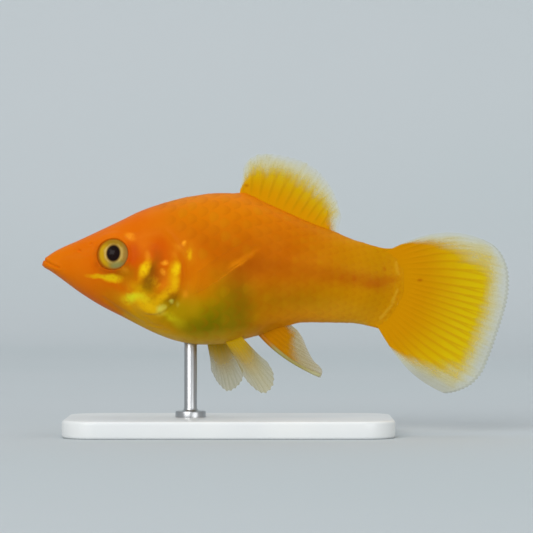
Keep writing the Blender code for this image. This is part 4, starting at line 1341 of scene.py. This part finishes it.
def make_stand_rod():
    top = SNOUT_HEIGHT + (float(belly_line(ROD_BEHIND)) + 1.2) * mm
    foot = BASE_SIZE[2] - 0.05 * mm
    profile = (
        (0, top), (ROD_RADIUS * 0.8, top), (ROD_RADIUS, top - 0.3 * mm), (ROD_RADIUS, COLLAR_TOP + 0.5 * mm),
        (ROD_RADIUS + 0.15 * mm, COLLAR_TOP + 0.15 * mm), (ROD_RADIUS + 0.5 * mm, COLLAR_TOP),
        (COLLAR_RADIUS - 0.3 * mm, COLLAR_TOP), (COLLAR_RADIUS - 0.08 * mm, COLLAR_TOP - 0.08 * mm),
        (COLLAR_RADIUS, COLLAR_TOP - 0.3 * mm), (COLLAR_RADIUS, foot), (0, foot),
    )
    bm = bmesh.new()
    corners = [bm.verts.new((across, 0, up)) for across, up in profile]
    line = [bm.edges.new(pair) for pair in zip(corners, corners[1:])]
    bmesh.ops.spin(
        bm, geom=corners + line, cent=(0, 0, 0), axis=(0, 0, 1), angle=2 * math.pi, steps=64, use_merge=True
    )
    bmesh.ops.remove_doubles(bm, verts=bm.verts[:], dist=1e-6)
    bmesh.ops.recalc_face_normals(bm, faces=bm.faces[:])
    bmesh.ops.translate(bm, vec=(SNOUT_X + ROD_BEHIND * mm, 0, 0), verts=bm.verts)
    return mesh_from(bm)


def lacquer():
    material, made = new_material("white_lacquer")
    where = object_place(made)
    cloud = noise(made, where, 18 * mm, 2.0)
    peel = noise(made, where, 0.5 * mm, 2.0)
    colour = cloud.step(0.3, 0.7).mixed(paint(222, 224, 224), paint(230, 231, 229))
    uneven = peel.bumps(0.12, 0.02 * mm)
    shade(made, {"Base Color": colour, "Roughness": 0.34 + peel * 0.08, "Normal": uneven, "Coat Weight": 0.2})
    return material


def brushed_steel():
    material, made = new_material("brushed_steel_rod")
    where = object_place(made)
    lines = noise(made, where, 0.6 * mm, 3.0, stretch=(1, 1, 14))
    colour = lines.mixed(paint(168, 170, 172), paint(198, 199, 200))
    brushed = lines.bumps(0.2, 0.02 * mm)
    shade(made, {"Base Color": colour, "Roughness": 0.26 + lines * 0.14, "Metallic": 1.0, "Normal": brushed})
    return material


finished("base_plate", make_base(), lacquer(), ("stand_base",), sharp=40)
finished("steel_rod", make_stand_rod(), brushed_steel(), ("stand_rod",), sharp=40)
print("stand:", BASE_SIZE[0] / mm, "x", BASE_SIZE[1] / mm, "mm base")

# %% [markdown]
# ## Floor, light and camera
# The background is a pale floor that sweeps up behind the model without a corner. Broad soft lights from
# above and in front keep the shadows weak. The camera looks level at the fish's left side through a long
# lens, so that the view is nearly without perspective, as in the photo.

# %% Floor
FLOOR_BEND = 0.30
FLOOR_REACH = 1.6
FLOOR_START = -1.2
FLOOR_FLAT = 1.7
FLOOR_RUN = 3.2


def make_floor():
    bm = bmesh.new()
    bmesh.ops.create_grid(bm, x_segments=24, y_segments=96, size=1.0)
    mesh = mesh_from(bm)
    x, y, _ = places_of(mesh).T
    run = (y + 1) / 2 * FLOOR_RUN
    bend = np.clip((run - FLOOR_FLAT) / FLOOR_BEND, 0.0, math.pi / 2)
    rise = np.maximum(run - FLOOR_FLAT - FLOOR_BEND * math.pi / 2, 0.0)
    depth = FLOOR_START + np.minimum(run, FLOOR_FLAT) + FLOOR_BEND * np.sin(bend)
    height = FLOOR_BEND * (1 - np.cos(bend)) + rise
    set_places(mesh, np.stack([x * FLOOR_REACH, depth, height], axis=-1))
    return mesh


def floor_finish():
    material, made = new_material("pale_backdrop")
    where = object_place(made)
    cloud = noise(made, where, 0.25, 2.0)
    grain = noise(made, where, 0.8 * mm, 3.0)
    colour = cloud.mixed(paint(198, 201, 204), paint(186, 196, 198))
    rough = grain.bumps(0.08, 0.05 * mm)
    shade(made, {"Base Color": colour, "Roughness": 0.85, "Specular IOR Level": 0.2, "Normal": rough})
    return material


floor_mesh = make_floor()
floor_mesh.shade_smooth()
floor_mesh.materials.append(floor_finish())
show("floor", floor_mesh)
print("floor ready")


# %% Lights and world
def soft_light(name, place, size, power):
    lamp = bpy.data.lights.new(name, "AREA")
    lamp.shape = "RECTANGLE"
    lamp.size, lamp.size_y = size
    lamp.energy = power
    obj = show(name, lamp)
    obj.location = place
    aim = Vector((0.0, 0.0, SNOUT_HEIGHT)) - obj.location
    obj.rotation_euler = aim.to_track_quat("-Z", "Y").to_euler()


soft_light("key", (-0.80, -1.60, 0.90), (1.3, 1.1), 21.5)
soft_light("fill", (1.10, -1.60, 0.30), (1.2, 0.9), 9.2)
soft_light("top", (0.10, 0.20, 1.70), (1.4, 1.2), 7.6)
world = bpy.data.worlds.new("pale_room")
world.use_nodes = True
sky = world.node_tree.nodes["Background"].inputs
sky["Color"].default_value = (0.80, 0.84, 0.87, 1.0)
sky["Strength"].default_value = 0.54
bpy.context.scene.world = world
bpy.context.scene.view_settings.view_transform = "Standard"

# %% Camera
camera = show("camera", bpy.data.cameras.new("camera"))
camera.data.lens = 200
camera.data.sensor_width = 36
camera.data.clip_start = 0.01
camera.location = (-0.00163, -0.50605, 0.02874)
camera.rotation_euler = (math.radians(90), 0, 0)
bpy.context.scene.camera = camera
print("camera", round(camera.location.length, 3), "m away")
